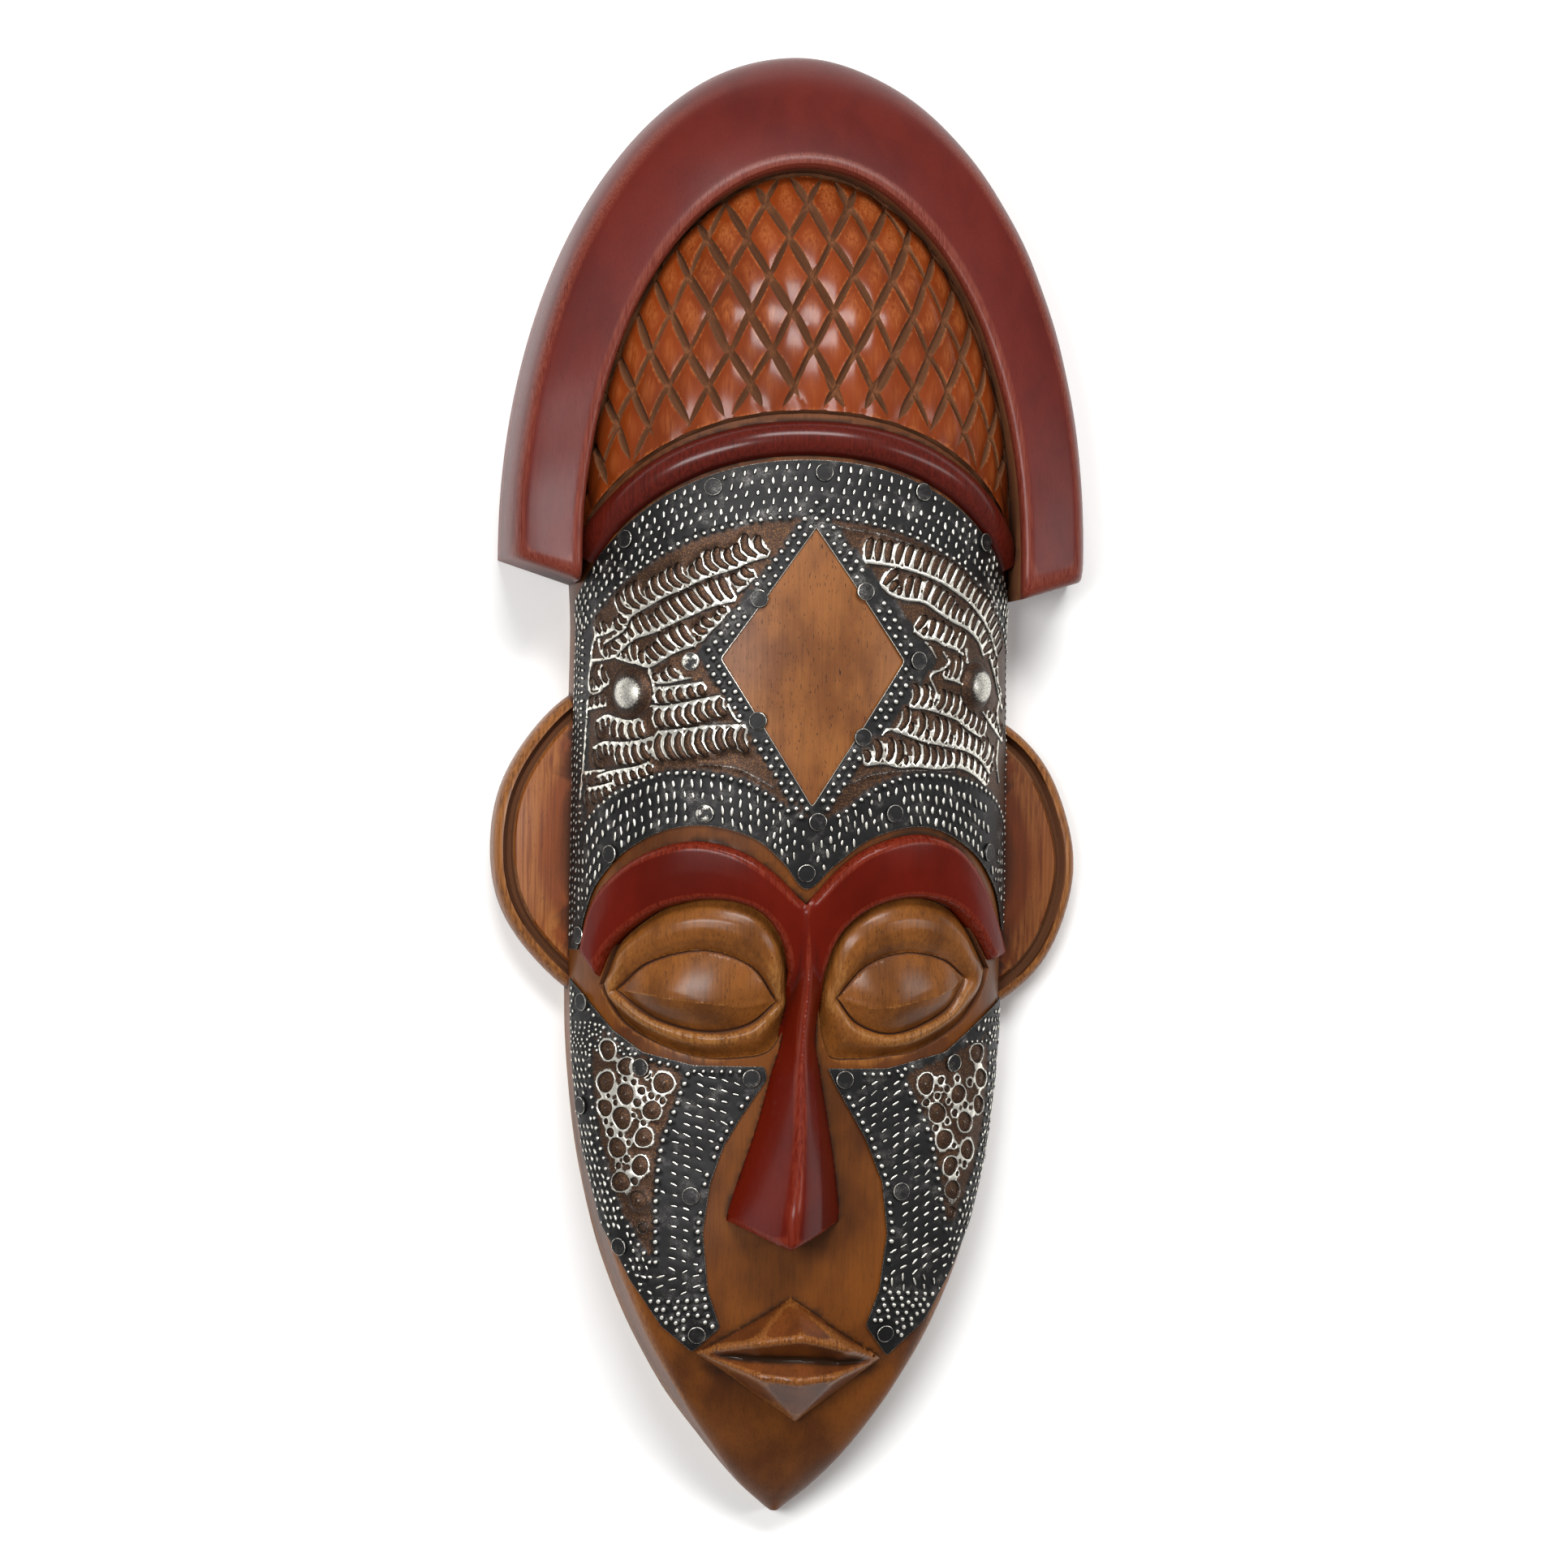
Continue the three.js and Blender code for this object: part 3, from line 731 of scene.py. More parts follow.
def add_node(tree: Tree, kind: str, settings: dict, links: dict, out: int | str = 0) -> Socket:
    """Adds one node to a material.

    Args:
        tree: The material's node tree.
        kind: Blender's name for the node, after the word ShaderNode.
        settings: Values by property name, or by input name or number.
        links: Output sockets by the input's name or number.
        out: Which output is wanted.

    Returns:
        That output.
    """
    node = tree.nodes.new("ShaderNode" + kind)
    for key, value in settings.items():
        if isinstance(key, str) and hasattr(node, key):
            setattr(node, key, value)
        else:
            node.inputs[key].default_value = value
    for key, socket in links.items():
        tree.links.new(socket, node.inputs[key])
    return node.outputs[out]


def fresh_material(name: str) -> tuple[bpy.types.Material, Tree, bpy.types.Node]:
    """Starts a material.

    Args:
        name: The material's name.

    Returns:
        The material, its node tree and its main shader.
    """
    material = bpy.data.materials.new(name)
    material.use_nodes = True
    tree = material.node_tree
    return material, tree, tree.nodes["Principled BSDF"]


@dataclass(frozen=True)
class StainFinish:
    """Pale straight-grained wood under a coloured stain, rubbed up by hand.

    The cuts and hollows are darkened with painted shade, the stain wears light on the edges, and
    the open grain shows as fine streaks and short dark pores along the mask.
    """

    name: str
    stain: str
    mottle: str
    # deep: the colour of the grain streaks and of the painted shade in the recesses.
    deep: str
    worn: str
    sheen: Sheen
    streak: float = 0.35
    pore: float = 0.4
    grain_width: float = 0.8
    grain_length: float = 38.0
    # The real pores are about 0.2 mm wide and are drawn a little coarser, so that they show.
    pore_width: float = 0.34
    pore_length: float = 2.6
    cloud: float = 26.0
    relief: float = 0.4
    pit: str = "#1c0d06"

    def material(self) -> bpy.types.Material:
        """Builds the finish.

        Returns:
            The new material.
        """
        roughness, specular, coat, coat_roughness = self.sheen.value
        made, tree, shader = fresh_material(self.name)
        place = add_node(tree, "TexCoord", {}, {}, "Object")
        # recess: how hollow the surface lies, used for painted shade in the cuts and hollows.
        recess = add_node(tree, "Attribute", {"attribute_name": "recess"}, {}, "Fac")
        edge = add_node(tree, "Attribute", {"attribute_name": "edge"}, {}, "Fac")
        noises = []
        for width, length, detail in ((self.grain_width, self.grain_length, 4),
                                      (self.pore_width, self.pore_length, 1),
                                      (self.cloud, self.cloud * 1.8, 3)):
            scale = (1 / (width * MM), 1 / (length * MM), 1 / (width * MM))
            drawn = add_node(tree, "Mapping", {"Scale": scale}, {"Vector": place})
            settings = {"Scale": 1.0, "Detail": detail, "Roughness": 0.6}
            noises.append(add_node(tree, "TexNoise", settings, {"Vector": drawn}))
        grain, fine, soft = noises
        limits = ((fine, 0.66, 0.74), (soft, 0.35, 0.68), (grain, 0.42, 0.72), (grain, 0.75, 0.3),
                  (edge, 0.35, 0.9))
        pores, clouds, streaks, bare, rims = (
            add_node(tree, "MapRange", {**SMOOTH, 1: low, 2: high}, {0: raw}) for raw, low, high in limits)
        streaks = add_node(tree, "Math", {"operation": "MULTIPLY", 1: self.streak}, {0: streaks})
        rubbed = add_node(tree, "Math", {"operation": "MULTIPLY"}, {0: bare, 1: rims})
        pits = add_node(tree, "Math", {"operation": "MULTIPLY", 1: self.pore}, {0: pores})
        stains = {**COLOURS, 6: linear(self.stain), 7: linear(self.mottle)}
        colour = add_node(tree, "Mix", stains, {0: clouds}, 2)
        # In turn: grain streaks, worn edges, painted shade in the recesses and dark pores.
        for share, tone in ((streaks, self.deep), (rubbed, self.worn), (recess, self.deep), (pits, self.pit)):
            colour = add_node(tree, "Mix", {**COLOURS, 7: linear(tone)}, {0: share, 6: colour}, 2)
        tree.links.new(colour, shader.inputs["Base Color"])
        uneven = {"operation": "MULTIPLY_ADD", 1: 0.22, 2: roughness - 0.11}
        rough = add_node(tree, "Math", uneven, {0: grain})
        dull = add_node(tree, "Math", {"operation": "MULTIPLY_ADD", 1: 0.3}, {0: recess, 2: rough})
        tree.links.new(dull, shader.inputs["Roughness"])
        height = add_node(tree, "Math", {"operation": "SUBTRACT"}, {0: grain, 1: pores})
        relief = {"Strength": self.relief, "Distance": 0.12 * MM}
        tree.links.new(add_node(tree, "Bump", relief, {"Height": height}), shader.inputs["Normal"])
        shader.inputs["IOR"].default_value = 1.5
        shader.inputs["Specular IOR Level"].default_value = specular
        shader.inputs["Coat Weight"].default_value = coat
        shader.inputs["Coat Roughness"].default_value = coat_roughness
        return made


@dataclass(frozen=True)
class EmbossedMetal:
    """Thin aluminium sheet, blackened and then rubbed, so the punched tops shine white.

    Between the tops the blacking stays as a satin charcoal, or as a brown lacquer in the fields
    of scallops and rings, with cloudy grey where the rubbing reached the flat.
    """

    name: str = "aluminium sheet, embossed, blackened and rubbed"
    black: str = "#252424"
    grey: str = "#777471"
    brown: str = "#38271f"
    gold: str = "#775433"
    bright: str = "#f0ece0"
    cloud: float = 7.0
    # The scratches of rubbing are finer than this and are drawn as coarse as they need to show.
    brush: float = 0.5

    def material(self) -> bpy.types.Material:
        """Builds the finish.

        Returns:
            The new material.
        """
        made, tree, shader = fresh_material(self.name)
        place = add_node(tree, "TexCoord", {}, {}, "Object")
        polish = add_node(tree, "Attribute", {"attribute_name": "polish"}, {}, "Fac")
        brown = add_node(tree, "Attribute", {"attribute_name": "brown"}, {}, "Fac")
        sizes = ((self.cloud, 4), (self.brush, 3))
        settings = [{"Scale": 1 / (size * MM), "Detail": detail, "Roughness": 0.6} for size, detail in sizes]
        clouds, fine = (add_node(tree, "TexNoise", each, {"Vector": place}) for each in settings)
        ragged = add_node(tree, "Math", {"operation": "MULTIPLY_ADD", 1: 0.5}, {0: fine, 2: polish})
        limits = ((clouds, 0.5, 0.78), (fine, 0.3, 0.7), (fine, 0.45, 0.75), (ragged, 0.62, 0.95))
        patches, grit, flecks, top = (
            add_node(tree, "MapRange", {**SMOOTH, 1: low, 2: high}, {0: raw}) for raw, low, high in limits)
        worn = add_node(tree, "Math", {"operation": "MULTIPLY"}, {0: patches, 1: grit})
        blacks = {**COLOURS, 6: linear(self.black), 7: linear(self.grey)}
        browns = {**COLOURS, 6: linear(self.brown), 7: linear(self.gold)}
        base = add_node(tree, "Mix", blacks, {0: worn}, 2)
        lacquer = add_node(tree, "Mix", browns, {0: flecks}, 2)
        base = add_node(tree, "Mix", COLOURS, {0: brown, 6: base, 7: lacquer}, 2)
        base = add_node(tree, "Mix", {**COLOURS, 7: linear(self.bright)}, {0: top, 6: base}, 2)
        tree.links.new(base, shader.inputs["Base Color"])
        rough = add_node(tree, "Math", {"operation": "MULTIPLY_ADD", 1: -0.2, 2: 0.5}, {0: top})
        tree.links.new(rough, shader.inputs["Roughness"])
        metal = add_node(tree, "Math", {"operation": "MULTIPLY_ADD", 1: 0.1, 2: 0.75}, {0: top})
        tree.links.new(metal, shader.inputs["Metallic"])
        relief = {"Strength": 0.35, "Distance": 0.08 * MM}
        tree.links.new(add_node(tree, "Bump", relief, {"Height": fine}), shader.inputs["Normal"])
        return made


# Maroon stain soaked into open grain: a dull wine red with fine dark pores, browner where rubbed.
HOOD_RED = StainFinish("wood, maroon stain, satin", "#5b1911", "#4e130d", "#2e0b07", "#743729",
    Sheen.SATIN, streak=0.16, pore=0.3, grain_width=0.4, grain_length=9.0, relief=0.35)
# Dark red stain laid on thick and polished: nearly black, with one wet line of light.
RIDGE_RED = StainFinish("wood, dark red stain, gloss", "#44110b", "#380c07", "#1c0604", "#561a11",
    Sheen.GLOSS, streak=0.08, pore=0.0, relief=0.08)
# Brick red stain under a thin lacquer: strong and smooth, with a soft light along the nose.
BROW_RED = StainFinish("wood, brick red stain, gloss", "#5c1104", "#4c0c02", "#240904", "#702817",
    Sheen.LACQUER, streak=0.1, pore=0.15, relief=0.3)
# Orange-brown stain polished to a gloss: each diamond of the dome carries its own small light.
HAIR_ORANGE = StainFinish("wood, orange-brown stain, gloss", "#7a3310", "#66290c", "#3a1a09", "#935028",
    Sheen.GLOSS, streak=0.12, pore=0.1, relief=0.15)
# The same stain left satin: a matt rust brown with the grain showing.
EAR_BROWN = StainFinish("wood, orange-brown stain, satin", "#7c3d16", "#6c3210", "#31190b", "#8f5728",
    Sheen.SATIN, streak=0.35, pore=0.35)
# Thin tan stain on the ears' rims and the head's top: the wood's yellow wears through.
LIP_TAN = StainFinish("wood, tan stain, satin", "#65381a", "#532c13", "#2b170b", "#8f5b2c",
    Sheen.SATIN, streak=0.35, pore=0.4)
# Golden stain under wax: warm lids, darkened towards their cuts with painted shade, dotted with pores.
EYE_GOLD = StainFinish("wood, golden brown stain, waxed", "#7d4a1e", "#5f3615", "#261409", "#8e5f30",
    Sheen.WAXED, streak=0.3, pore=0.8, cloud=13, relief=0.5)
# Tan stain under wax: each facet of the mouth in one tone, its ridges a little lighter.
LIP_WAX = StainFinish("wood, tan-brown stain, waxed", "#673614", "#4f2810", "#281608", "#8a5628",
    Sheen.WAXED, streak=0.3, pore=0.5, cloud=14, relief=0.4)
# The same orange-brown stain made darker on the ear at the right: painted shade, as that ear lies away from
# the main light.
EAR_PAINTED_SHADE = StainFinish("wood, orange-brown stain, painted shade", "#652e10", "#56260d", "#28140a", "#774621",
    Sheen.SATIN, streak=0.35, pore=0.35)
# Tan-brown stain rubbed satin: a quiet ground for the chin and the sides.
FACE_TAN = StainFinish("wood, tan-brown stain, satin", "#6f3d12", "#4c260b", "#281608", "#845121",
    Sheen.SATIN, streak=0.25, pore=0.35, relief=0.2)
# Orange-tan stain rubbed nearly off: pale streaks and short dark pores in the window.
WINDOW_TAN = StainFinish("wood, orange-tan stain, rubbed", "#855125", "#693b18", "#42260f", "#946233",
    Sheen.RUBBED, streak=0.3, pore=0.9, cloud=15, relief=0.55)
# Cuts left as the gouge made them, under dark wax: dull deep brown lines.
GOUGED = StainFinish("wood, bare gouged cuts under dark wax", "#75482b", "#653c24", "#553420", "#8a5c3a",
    Sheen.BARE, streak=0.5, pore=0.5)
# Dry unstained wood: pale and matt, seen only from behind.
RAW_BACK = StainFinish("wood, bare, hollowed with a gouge", "#a07f58", "#8d6c46", "#5e4429", "#b8976c",
    Sheen.BARE, streak=0.5, pore=0.5)


class WoodPalette:
    """The stained finishes as materials, each made once."""

    def __init__(self) -> None:
        """Builds no material until it is asked for."""
        self.made: dict[str, bpy.types.Material] = {}

    def give(self, obj: Piece, *finishes: StainFinish) -> list[int]:
        """Puts finishes in the next slots of an object.

        Args:
            obj: The object to dress.
            finishes: The finishes in order.

        Returns:
            The slots' numbers.
        """
        for finish in finishes:
            if finish.name not in self.made:
                self.made[finish.name] = finish.material()
            obj.data.materials.append(self.made[finish.name])
        last = len(obj.data.materials)
        return list(range(last - len(finishes), last))


PALETTE = WoodPalette()


def smooth_noise(places: Array, size: float, seed: int) -> Array:
    """Gentle unevenness of a hand-carved surface.

    Args:
        places: Places in millimetres.
        size: Typical length of a swell.
        seed: Picks one pattern.

    Returns:
        Values of about -1 to 1.
    """
    draw = np.random.default_rng(seed)
    total = np.zeros(len(places))
    for _ in range(7):
        way = draw.normal(size=places.shape[1])
        way *= 2 * math.pi / size * draw.uniform(0.6, 1.3) / np.linalg.norm(way)
        total += np.sin(places @ way + draw.uniform(0, 2 * math.pi))
    return total / 3.5


@dataclass
class HeadBlock:
    """The plain head from its flat back to its front, before any feature is carved."""

    row_step: float = 2.0
    front_steps: int = 104
    flank_steps: int = 7
    rim_bevel: float = 1.2
    groove_depth: float = 1.7
    groove_reach: float = 5.5
    window: Points = ((0.8, 89), (-34, 41.5), (0.9, -11), (36, 41.5))

    def rings(self) -> Array:
        """Cross-sections of the head, each starting at the left foot of its front.

        Returns:
            Places by section, point and coordinate.
        """
        count = math.ceil((HEAD.high - HEAD.low) / self.row_step)
        rings = []
        for y in np.linspace(HEAD.low, HEAD.high, count + 1):
            reach = float(HEAD.side_arc(np.array([y]), -1.0)[0])
            arcs = np.linspace(-reach, reach, self.front_steps + 1)
            flat = pairs(arcs, np.full(len(arcs), y))
            front = HEAD.wrap(flat, self.lift(flat))
            rings.append(np.concatenate([self.flank(y, -1), front, self.flank(y, 1)]))
        return np.array(rings)

    def flank(self, y: float, sign: int) -> Array:
        """One side of a cross-section, from the back up on the left or down on the right.

        Args:
            y: The section's height.
            sign: -1 for the left side, 1 for the right.

        Returns:
            Places in millimetres.
        """
        half, splay, flank = (float(HEAD.size(key, y)) for key in ("half", "splay", "flank"))
        shares = np.linspace(0, 1, self.flank_steps + 1)[1:]
        x = half + splay * shares
        z = flank * (1 - shares)
        z[-1] = min(self.rim_bevel, z[-2] / 2)
        foot = np.array([[half + splay - min(self.rim_bevel, half / 2), 0.0]])
        side = np.concatenate([pairs(x, z), foot])
        places = pairs(sign * side[:, 0], np.full(len(side), y), side[:, 1])
        return places if sign > 0 else places[::-1]

    def lift(self, flat: Array) -> Array:
        """A hollowed band under the lips' lower edges.

        Args:
            flat: Rows of arc length and height.

        Returns:
            Lifts, all of them nought or less.
        """
        beyond = -signed_distance(flat, HEAD.flat(Lips.outline()))
        below = ease((-190 - flat[:, 1]) / 10)
        return -self.groove_depth * below * np.exp(-(np.maximum(beyond, 0) / self.groove_reach) ** 2)

    def build(self) -> Piece:
        """Makes the block and stains it zone by zone.

        Returns:
            The block.
        """
        block = loft("carved_wood_stained", self.rings())
        lip, window, face, back = PALETTE.give(block, LIP_TAN, WINDOW_TAN, FACE_TAN, RAW_BACK)
        middles = face_centres(block)
        zones = np.full(len(middles), face)
        zones[middles[:, 1] > RIDGE_LINE.height(middles[:, 0])] = lip
        zones[signed_distance(middles[:, :2], np.array(self.window)) > 0] = window
        zones[middles[:, 2] < self.rim_bevel * 0.7] = back
        paint(block, zones)
        return block


@dataclass
class HairDome:
    """The latticed hair: a dome of pillowed diamonds between spindle-shaped gouge cuts."""

    pitch: float = 14.0
    row: float = 12.7
    base: float = 68.0
    lift: float = 0.5
    pillow: float = 1.0
    fill: float = 1.5
    reach: float = 74.0
    hood_half: float = 74.5
    hood_rise: float = 132.0
    hood_y: float = 75.0
    under_hood: float = 3.0
    stroke_half: float = 12.0
    stroke_width: float = 1.6
    stroke_depth: float = 1.5
    margin: float = 1.2
    seed: int = 11

    def outline(self, grow: float) -> Array:
        """The dome's outline seen from the front, grown under the hood.

        Args:
            grow: How far the dome runs in under the hood.

        Returns:
            Places seen from the front.
        """
        turns = np.linspace(0, math.pi, 90)
        x = (self.hood_half + grow) * np.cos(turns)
        y = self.hood_y + (self.hood_rise + grow) * np.sin(turns)
        half = HEAD.size("half", np.minimum(y, HEAD.high)) * 0.999
        edge = pairs(np.clip(x, -half, half), np.minimum(y, HEAD.high - 1))
        foot = np.linspace(-self.reach, self.reach, 60)
        arch = pairs(foot, DOME_FOOT.height(foot))
        top = edge[edge[:, 1] > DOME_FOOT.height(edge[:, 0]) + 1]
        return np.concatenate([arch, top])

    def swell(self, flat: Array) -> Array:
        """Height of the pillowed diamonds over the plain head.

        Args:
            flat: Rows of arc length and height.

        Returns:
            The heights.
        """
        across, up = flat[:, 0] / (self.pitch / 2), (flat[:, 1] - self.base) / self.row
        shares = [np.abs(np.sin(math.pi / 2 * value)) for value in (across + up, across - up)]
        return self.lift + self.pillow * np.sqrt(shares[0] * shares[1])

    def build(self) -> Piece:
        """Makes the dome.

        Returns:
            The dome, rooted in the head.
        """
        outline = even_steps(HEAD.flat(self.outline(self.under_hood)), self.fill)
        flat, faces = patch(outline, self.fill)
        dome = shell("hair_dome", HEAD.wrap(flat, self.swell(flat)), HEAD.wrap(flat, ROOT), faces)
        PALETTE.give(dome, HAIR_ORANGE)
        return dome

    def strokes(self) -> list[Piece]:
        """The gouge cuts in four sets, so that no two cuts of a set touch.

        Returns:
            One cutter for each set.
        """
        draw = np.random.default_rng(self.seed)
        edge = HEAD.flat(self.outline(0))
        sets: dict[tuple[int, int], list[Array]] = {}
        for lean in (1, -1):
            for j in range(-1, 12):
                for k in range(-11, 12):
                    if (j + k) % 2:
                        continue
                    start = np.array([k * self.pitch / 2, self.base + j * self.row])
                    run = np.array([lean * self.pitch / 2, self.row])
                    cut = self.stroke(start + run / 2, run, edge, draw)
                    if cut is not None:
                        sets.setdefault((lean, j % 2), []).append(cut)
        return [self.cutter(rings) for rings in sets.values()]

    def stroke(self, middle: Array, run: Array, edge: Array, draw: np.random.Generator) -> Array | None:
        """One spindle-shaped cut.

        Args:
            middle: Its middle, laid out flat.
            run: The way from one crossing to the next.
            edge: The lattice's outline, laid out flat.
            draw: Gives the unevenness of the hand.

        Returns:
            The cutter's rings, or None where the lattice has ended.
        """
        way = run / np.linalg.norm(run)
        sway = draw.uniform(-0.07, 0.07)
        way = np.array([way[0] - sway * way[1], way[1] + sway * way[0]])
        aside = np.array([way[1], -way[0]])
        middle = middle + draw.uniform(-0.5, 0.5, 2)
        long = self.stroke_half * draw.uniform(0.92, 1.14)
        wide = self.stroke_width * draw.uniform(0.85, 1.12)
        wide *= 0.94 - 0.22 * math.tanh((10 - middle[0]) / 14) * math.copysign(1, run[0])
        deep = self.stroke_depth * draw.uniform(0.85, 1.2)
        along = np.linspace(-1, 1, 13) * long
        inside = signed_distance(middle + along[:, None] * way, edge)
        keep = along[inside > self.margin]
        if len(keep) < 7:
            return None
        start, end = keep[0], keep[-1]
        shares = np.linspace(-1, 1, 11)
        taper = np.maximum(1 - np.abs(shares) ** 2.4, 0.03)
        section = ((-1, 0.4), (-0.62, -0.55), (0, -1), (0.62, -0.55), (1, 0.4), (0, 1.2))
        rings = []
        for share, width in zip(shares, taper):
            centre = middle + way * (start + (end - start) * (share + 1) / 2)
            flat = np.array([centre + aside * wide * width * across for across, _ in section])
            lifts = self.swell(centre[None])[0] + np.array([up * deep * width for _, up in section])
            rings.append(HEAD.wrap(flat, lifts))
        return np.array(rings)

    def cutter(self, cuts: Sequence[Array]) -> Piece:
        """Joins separate cuts into one tool with a gouged finish.

        Args:
            cuts: Rings of each cut.

        Returns:
            The tool.
        """
        tool = rods("gouge_cuts", list(cuts))
        PALETTE.give(tool, GOUGED)
        return tool


def score(name: str, places: Array, normals: Array, width: float, depth: float) -> Piece:
    """A cutter for one long V-shaped line.

    Args:
        name: The tool's name.
        places: The line's places in millimetres.
        normals: Outward directions at those places.
        width: Width of the cut.
        depth: Its depth.

    Returns:
        The tool, with a gouged finish.
    """
    aside = unit(np.cross(np.gradient(places, axis=0), normals))
    count = len(places)
    taper = np.minimum(1, np.minimum(np.arange(count), np.arange(count)[::-1]) / 3 + 0.1)[:, None]
    section = ((-1, 0.6), (0, -1), (1, 0.6), (0, 1.4))
    rings = [places + aside * (width / 2 * across) * taper + normals * (depth * up) * taper
             for across, up in section]
    tool = loft(name, np.stack(rings, axis=1))
    PALETTE.give(tool, GOUGED)
    return tool


@dataclass
class Hood:
    """The arched crest round the dome, with its two limbs cut off on a slant."""

    outer_half: float = 99.3
    outer_rise: float = 168.4
    outer_y: float = 80.0
    inner_half: float = 74.5
    inner_rise: float = 132.0
    inner_y: float = 75.0
    limb_ends: Points = ((75.0, 67.0), (71.0, 63.5))
    limb_crest: Points = (
        (0, 15), (0.02, 27), (0.06, 36), (0.12, 41.4), (0.2, 44), (0.35, 45.8), (0.55, 47.6), (0.75, 49.2),
        (0.9, 49.9), (0.98, 48.9), (1.0, 46),
    )
    top_crest: Points = (
        (0, 15), (0.03, 21), (0.08, 25.6), (0.16, 30.4), (0.26, 34.6), (0.4, 39), (0.6, 43.9), (0.8, 47.7),
        (0.94, 49.7), (0.99, 48.4), (1.0, 46),
    )
    wall: Points = ((1.012, 36), (1.03, 27), (1.05, 18), (1.05, 0))
    steps: int = 150

    def section(self, top: float = 0.0) -> Array:
        """The section as rows of share of the way in and height: flat-faced limbs, sloping top.

        Args:
            top: Nought on the limbs and one at the hood's top.

        Returns:
            The section's corners in order.
        """
        shares = even_steps(smooth_path([(a * 40, z) for a, z in self.limb_crest], 1.3), 1.3)[:, 0] / 40
        crests = (self.limb_crest, self.top_crest)
        heights = [np.interp(shares, *smooth_path(line, 0.01).T) for line in crests]
        crest = np.column_stack([shares, heights[0] * (1 - top) + heights[1] * top])
        foot = np.array([[0.02, 0], [0, 1.2]])
        return np.concatenate([foot, crest, np.array(self.wall)])

    def line(self, t: float) -> tuple[Array, Array]:
        """Outer and inner edge of the arch at an angle.

        Args:
            t: The angle, nought at the right limb.

        Returns:
            The two places seen from the front.
        """
        outer = np.array([self.outer_half * math.cos(t), self.outer_y + self.outer_rise * math.sin(t)])
        inner = np.array([self.inner_half * math.cos(t), self.inner_y + self.inner_rise * math.sin(t)])
        return outer, inner

    def ring(self, outer: Array, inner: Array, section: Array, fall: float = 0.0) -> Array:
        """One cross-section, its crest lowered where a limb's end is rounded over.

        Args:
            outer: Outer edge seen from the front.
            inner: Inner edge.
            section: The section's corners.
            fall: How far the end is rounded over.

        Returns:
            Places in millimetres.
        """
        places = outer + (inner - outer) * section[:, :1]
        centre = outer + (inner - outer) * 0.55
        drawn = np.where(section[:, 1:] > 10, fall * 0.06, 0)
        places = places + (centre - places) * drawn
        height = np.where(section[:, 1] > 10, section[:, 1] - fall * 3.2, section[:, 1])
        return np.column_stack([places, height])

    def build(self) -> Piece:
        """Makes the hood.

        Returns:
            The hood, its inner wall left as gouged.
        """
        section = self.section()
        rings = []
        right, left = self.limb(Side.RIGHT, section), self.limb(Side.LEFT, section)
        for t in np.linspace(0, math.pi, self.steps + 1):
            rings.append(self.ring(*self.line(t), self.section(math.sin(t) ** 4)))
        hood = loft("hood", np.array(right + rings + left[::-1]))
        red, gouged, back = PALETTE.give(hood, HOOD_RED, GOUGED, RAW_BACK)
        middles = face_centres(hood)
        inside = self.ellipse(middles, self.inner_half + 0.4, self.inner_rise + 0.4, self.inner_y) < 1
        zones = np.where(inside & (middles[:, 2] < 41.5), gouged, red)
        zones = np.where(middles[:, 2] < 0.4, back, zones)
        paint(hood, zones)
        return hood

    def ellipse(self, places: Array, half: float, rise: float, y: float) -> Array:
        """Under one inside an ellipse, with straight limbs below its middle."""
        up = np.maximum(places[:, 1] - y, 0)
        return (places[:, 0] / half) ** 2 + (up / rise) ** 2

    def limb(self, side: Side, section: Array) -> list[Array]:
        """Cross-sections of a limb's straight end, from its tip up.

        Args:
            side: Which limb.
            section: The hood's section.

        Returns:
            The cross-sections.
        """
        sign = side.value
        outer_end, inner_end = self.limb_ends[0 if side is Side.LEFT else 1]
        rings = []
        for share in (0, 0.08, 0.2, 0.4, 0.7):
            outer = np.array([sign * self.outer_half, outer_end + (self.outer_y - outer_end) * share])
            inner = np.array([sign * self.inner_half, inner_end + (self.inner_y - inner_end) * share])
            fall = 1 - math.sqrt(1 - (1 - min(1, share / 0.7)) ** 2)
            rings.append(self.ring(outer, inner, section, fall))
        return rings

    def groove(self) -> Piece:
        """A cut between the dome and the hood's inner wall.

        Returns:
            The tool.
        """
        turns = np.linspace(0.02, math.pi - 0.02, 150)
        x = (self.inner_half - 1.9) * np.cos(turns)
        y = np.minimum(self.inner_y + (self.inner_rise - 1.9) * np.sin(turns), HEAD.high - 4)
        half = HEAD.size("half", y) * 0.995
        x = np.clip(x, -half, half)
        angle = HEAD.angle_at(x, y)
        return score("hood_groove", HEAD.point(angle, y), HEAD.normal(angle, y), 2.6, 2.0)


@dataclass
class RidgeBand:
    """The half-round red band between the hair dome and the forehead."""

    radius: float = 6.2
    sink: float = 1.6
    reach: float = 71.0
    around: int = 36
    step: float = 2.2

    def build(self) -> Piece:
        """Makes the band.

        Returns:
            The band as a bent round rod.
        """
        x = np.linspace(-self.reach, self.reach, 161)
        flat = HEAD.flat(pairs(x, RIDGE_LINE.height(x)))
        spine = even_steps(HEAD.wrap(flat, -self.sink), self.step)
        run = unit(np.gradient(spine, axis=0))
        seen = HEAD.flat(spine[:, :2])
        out = HEAD.normal(HEAD.bend(seen), seen[:, 1])
        up = unit(np.cross(out, run))
        out = np.cross(run, up)
        rings = [spine + self.radius * (a * out + b * up) for a, b in circle(self.around)]
        band = loft("ridge_band", np.stack(rings, axis=1))
        PALETTE.give(band, RIDGE_RED)
        return band

    def foot_line(self) -> Piece:
        """The dark line along the dome's foot.

        Returns:
            The tool.
        """
        x = np.linspace(-73, 73, 141)
        y = DOME_FOOT.height(x) - 0.4
        angle = HEAD.angle_at(x, y)
        return score("dome_line", HEAD.point(angle, y), HEAD.normal(angle, y), 1.7, 1.2)


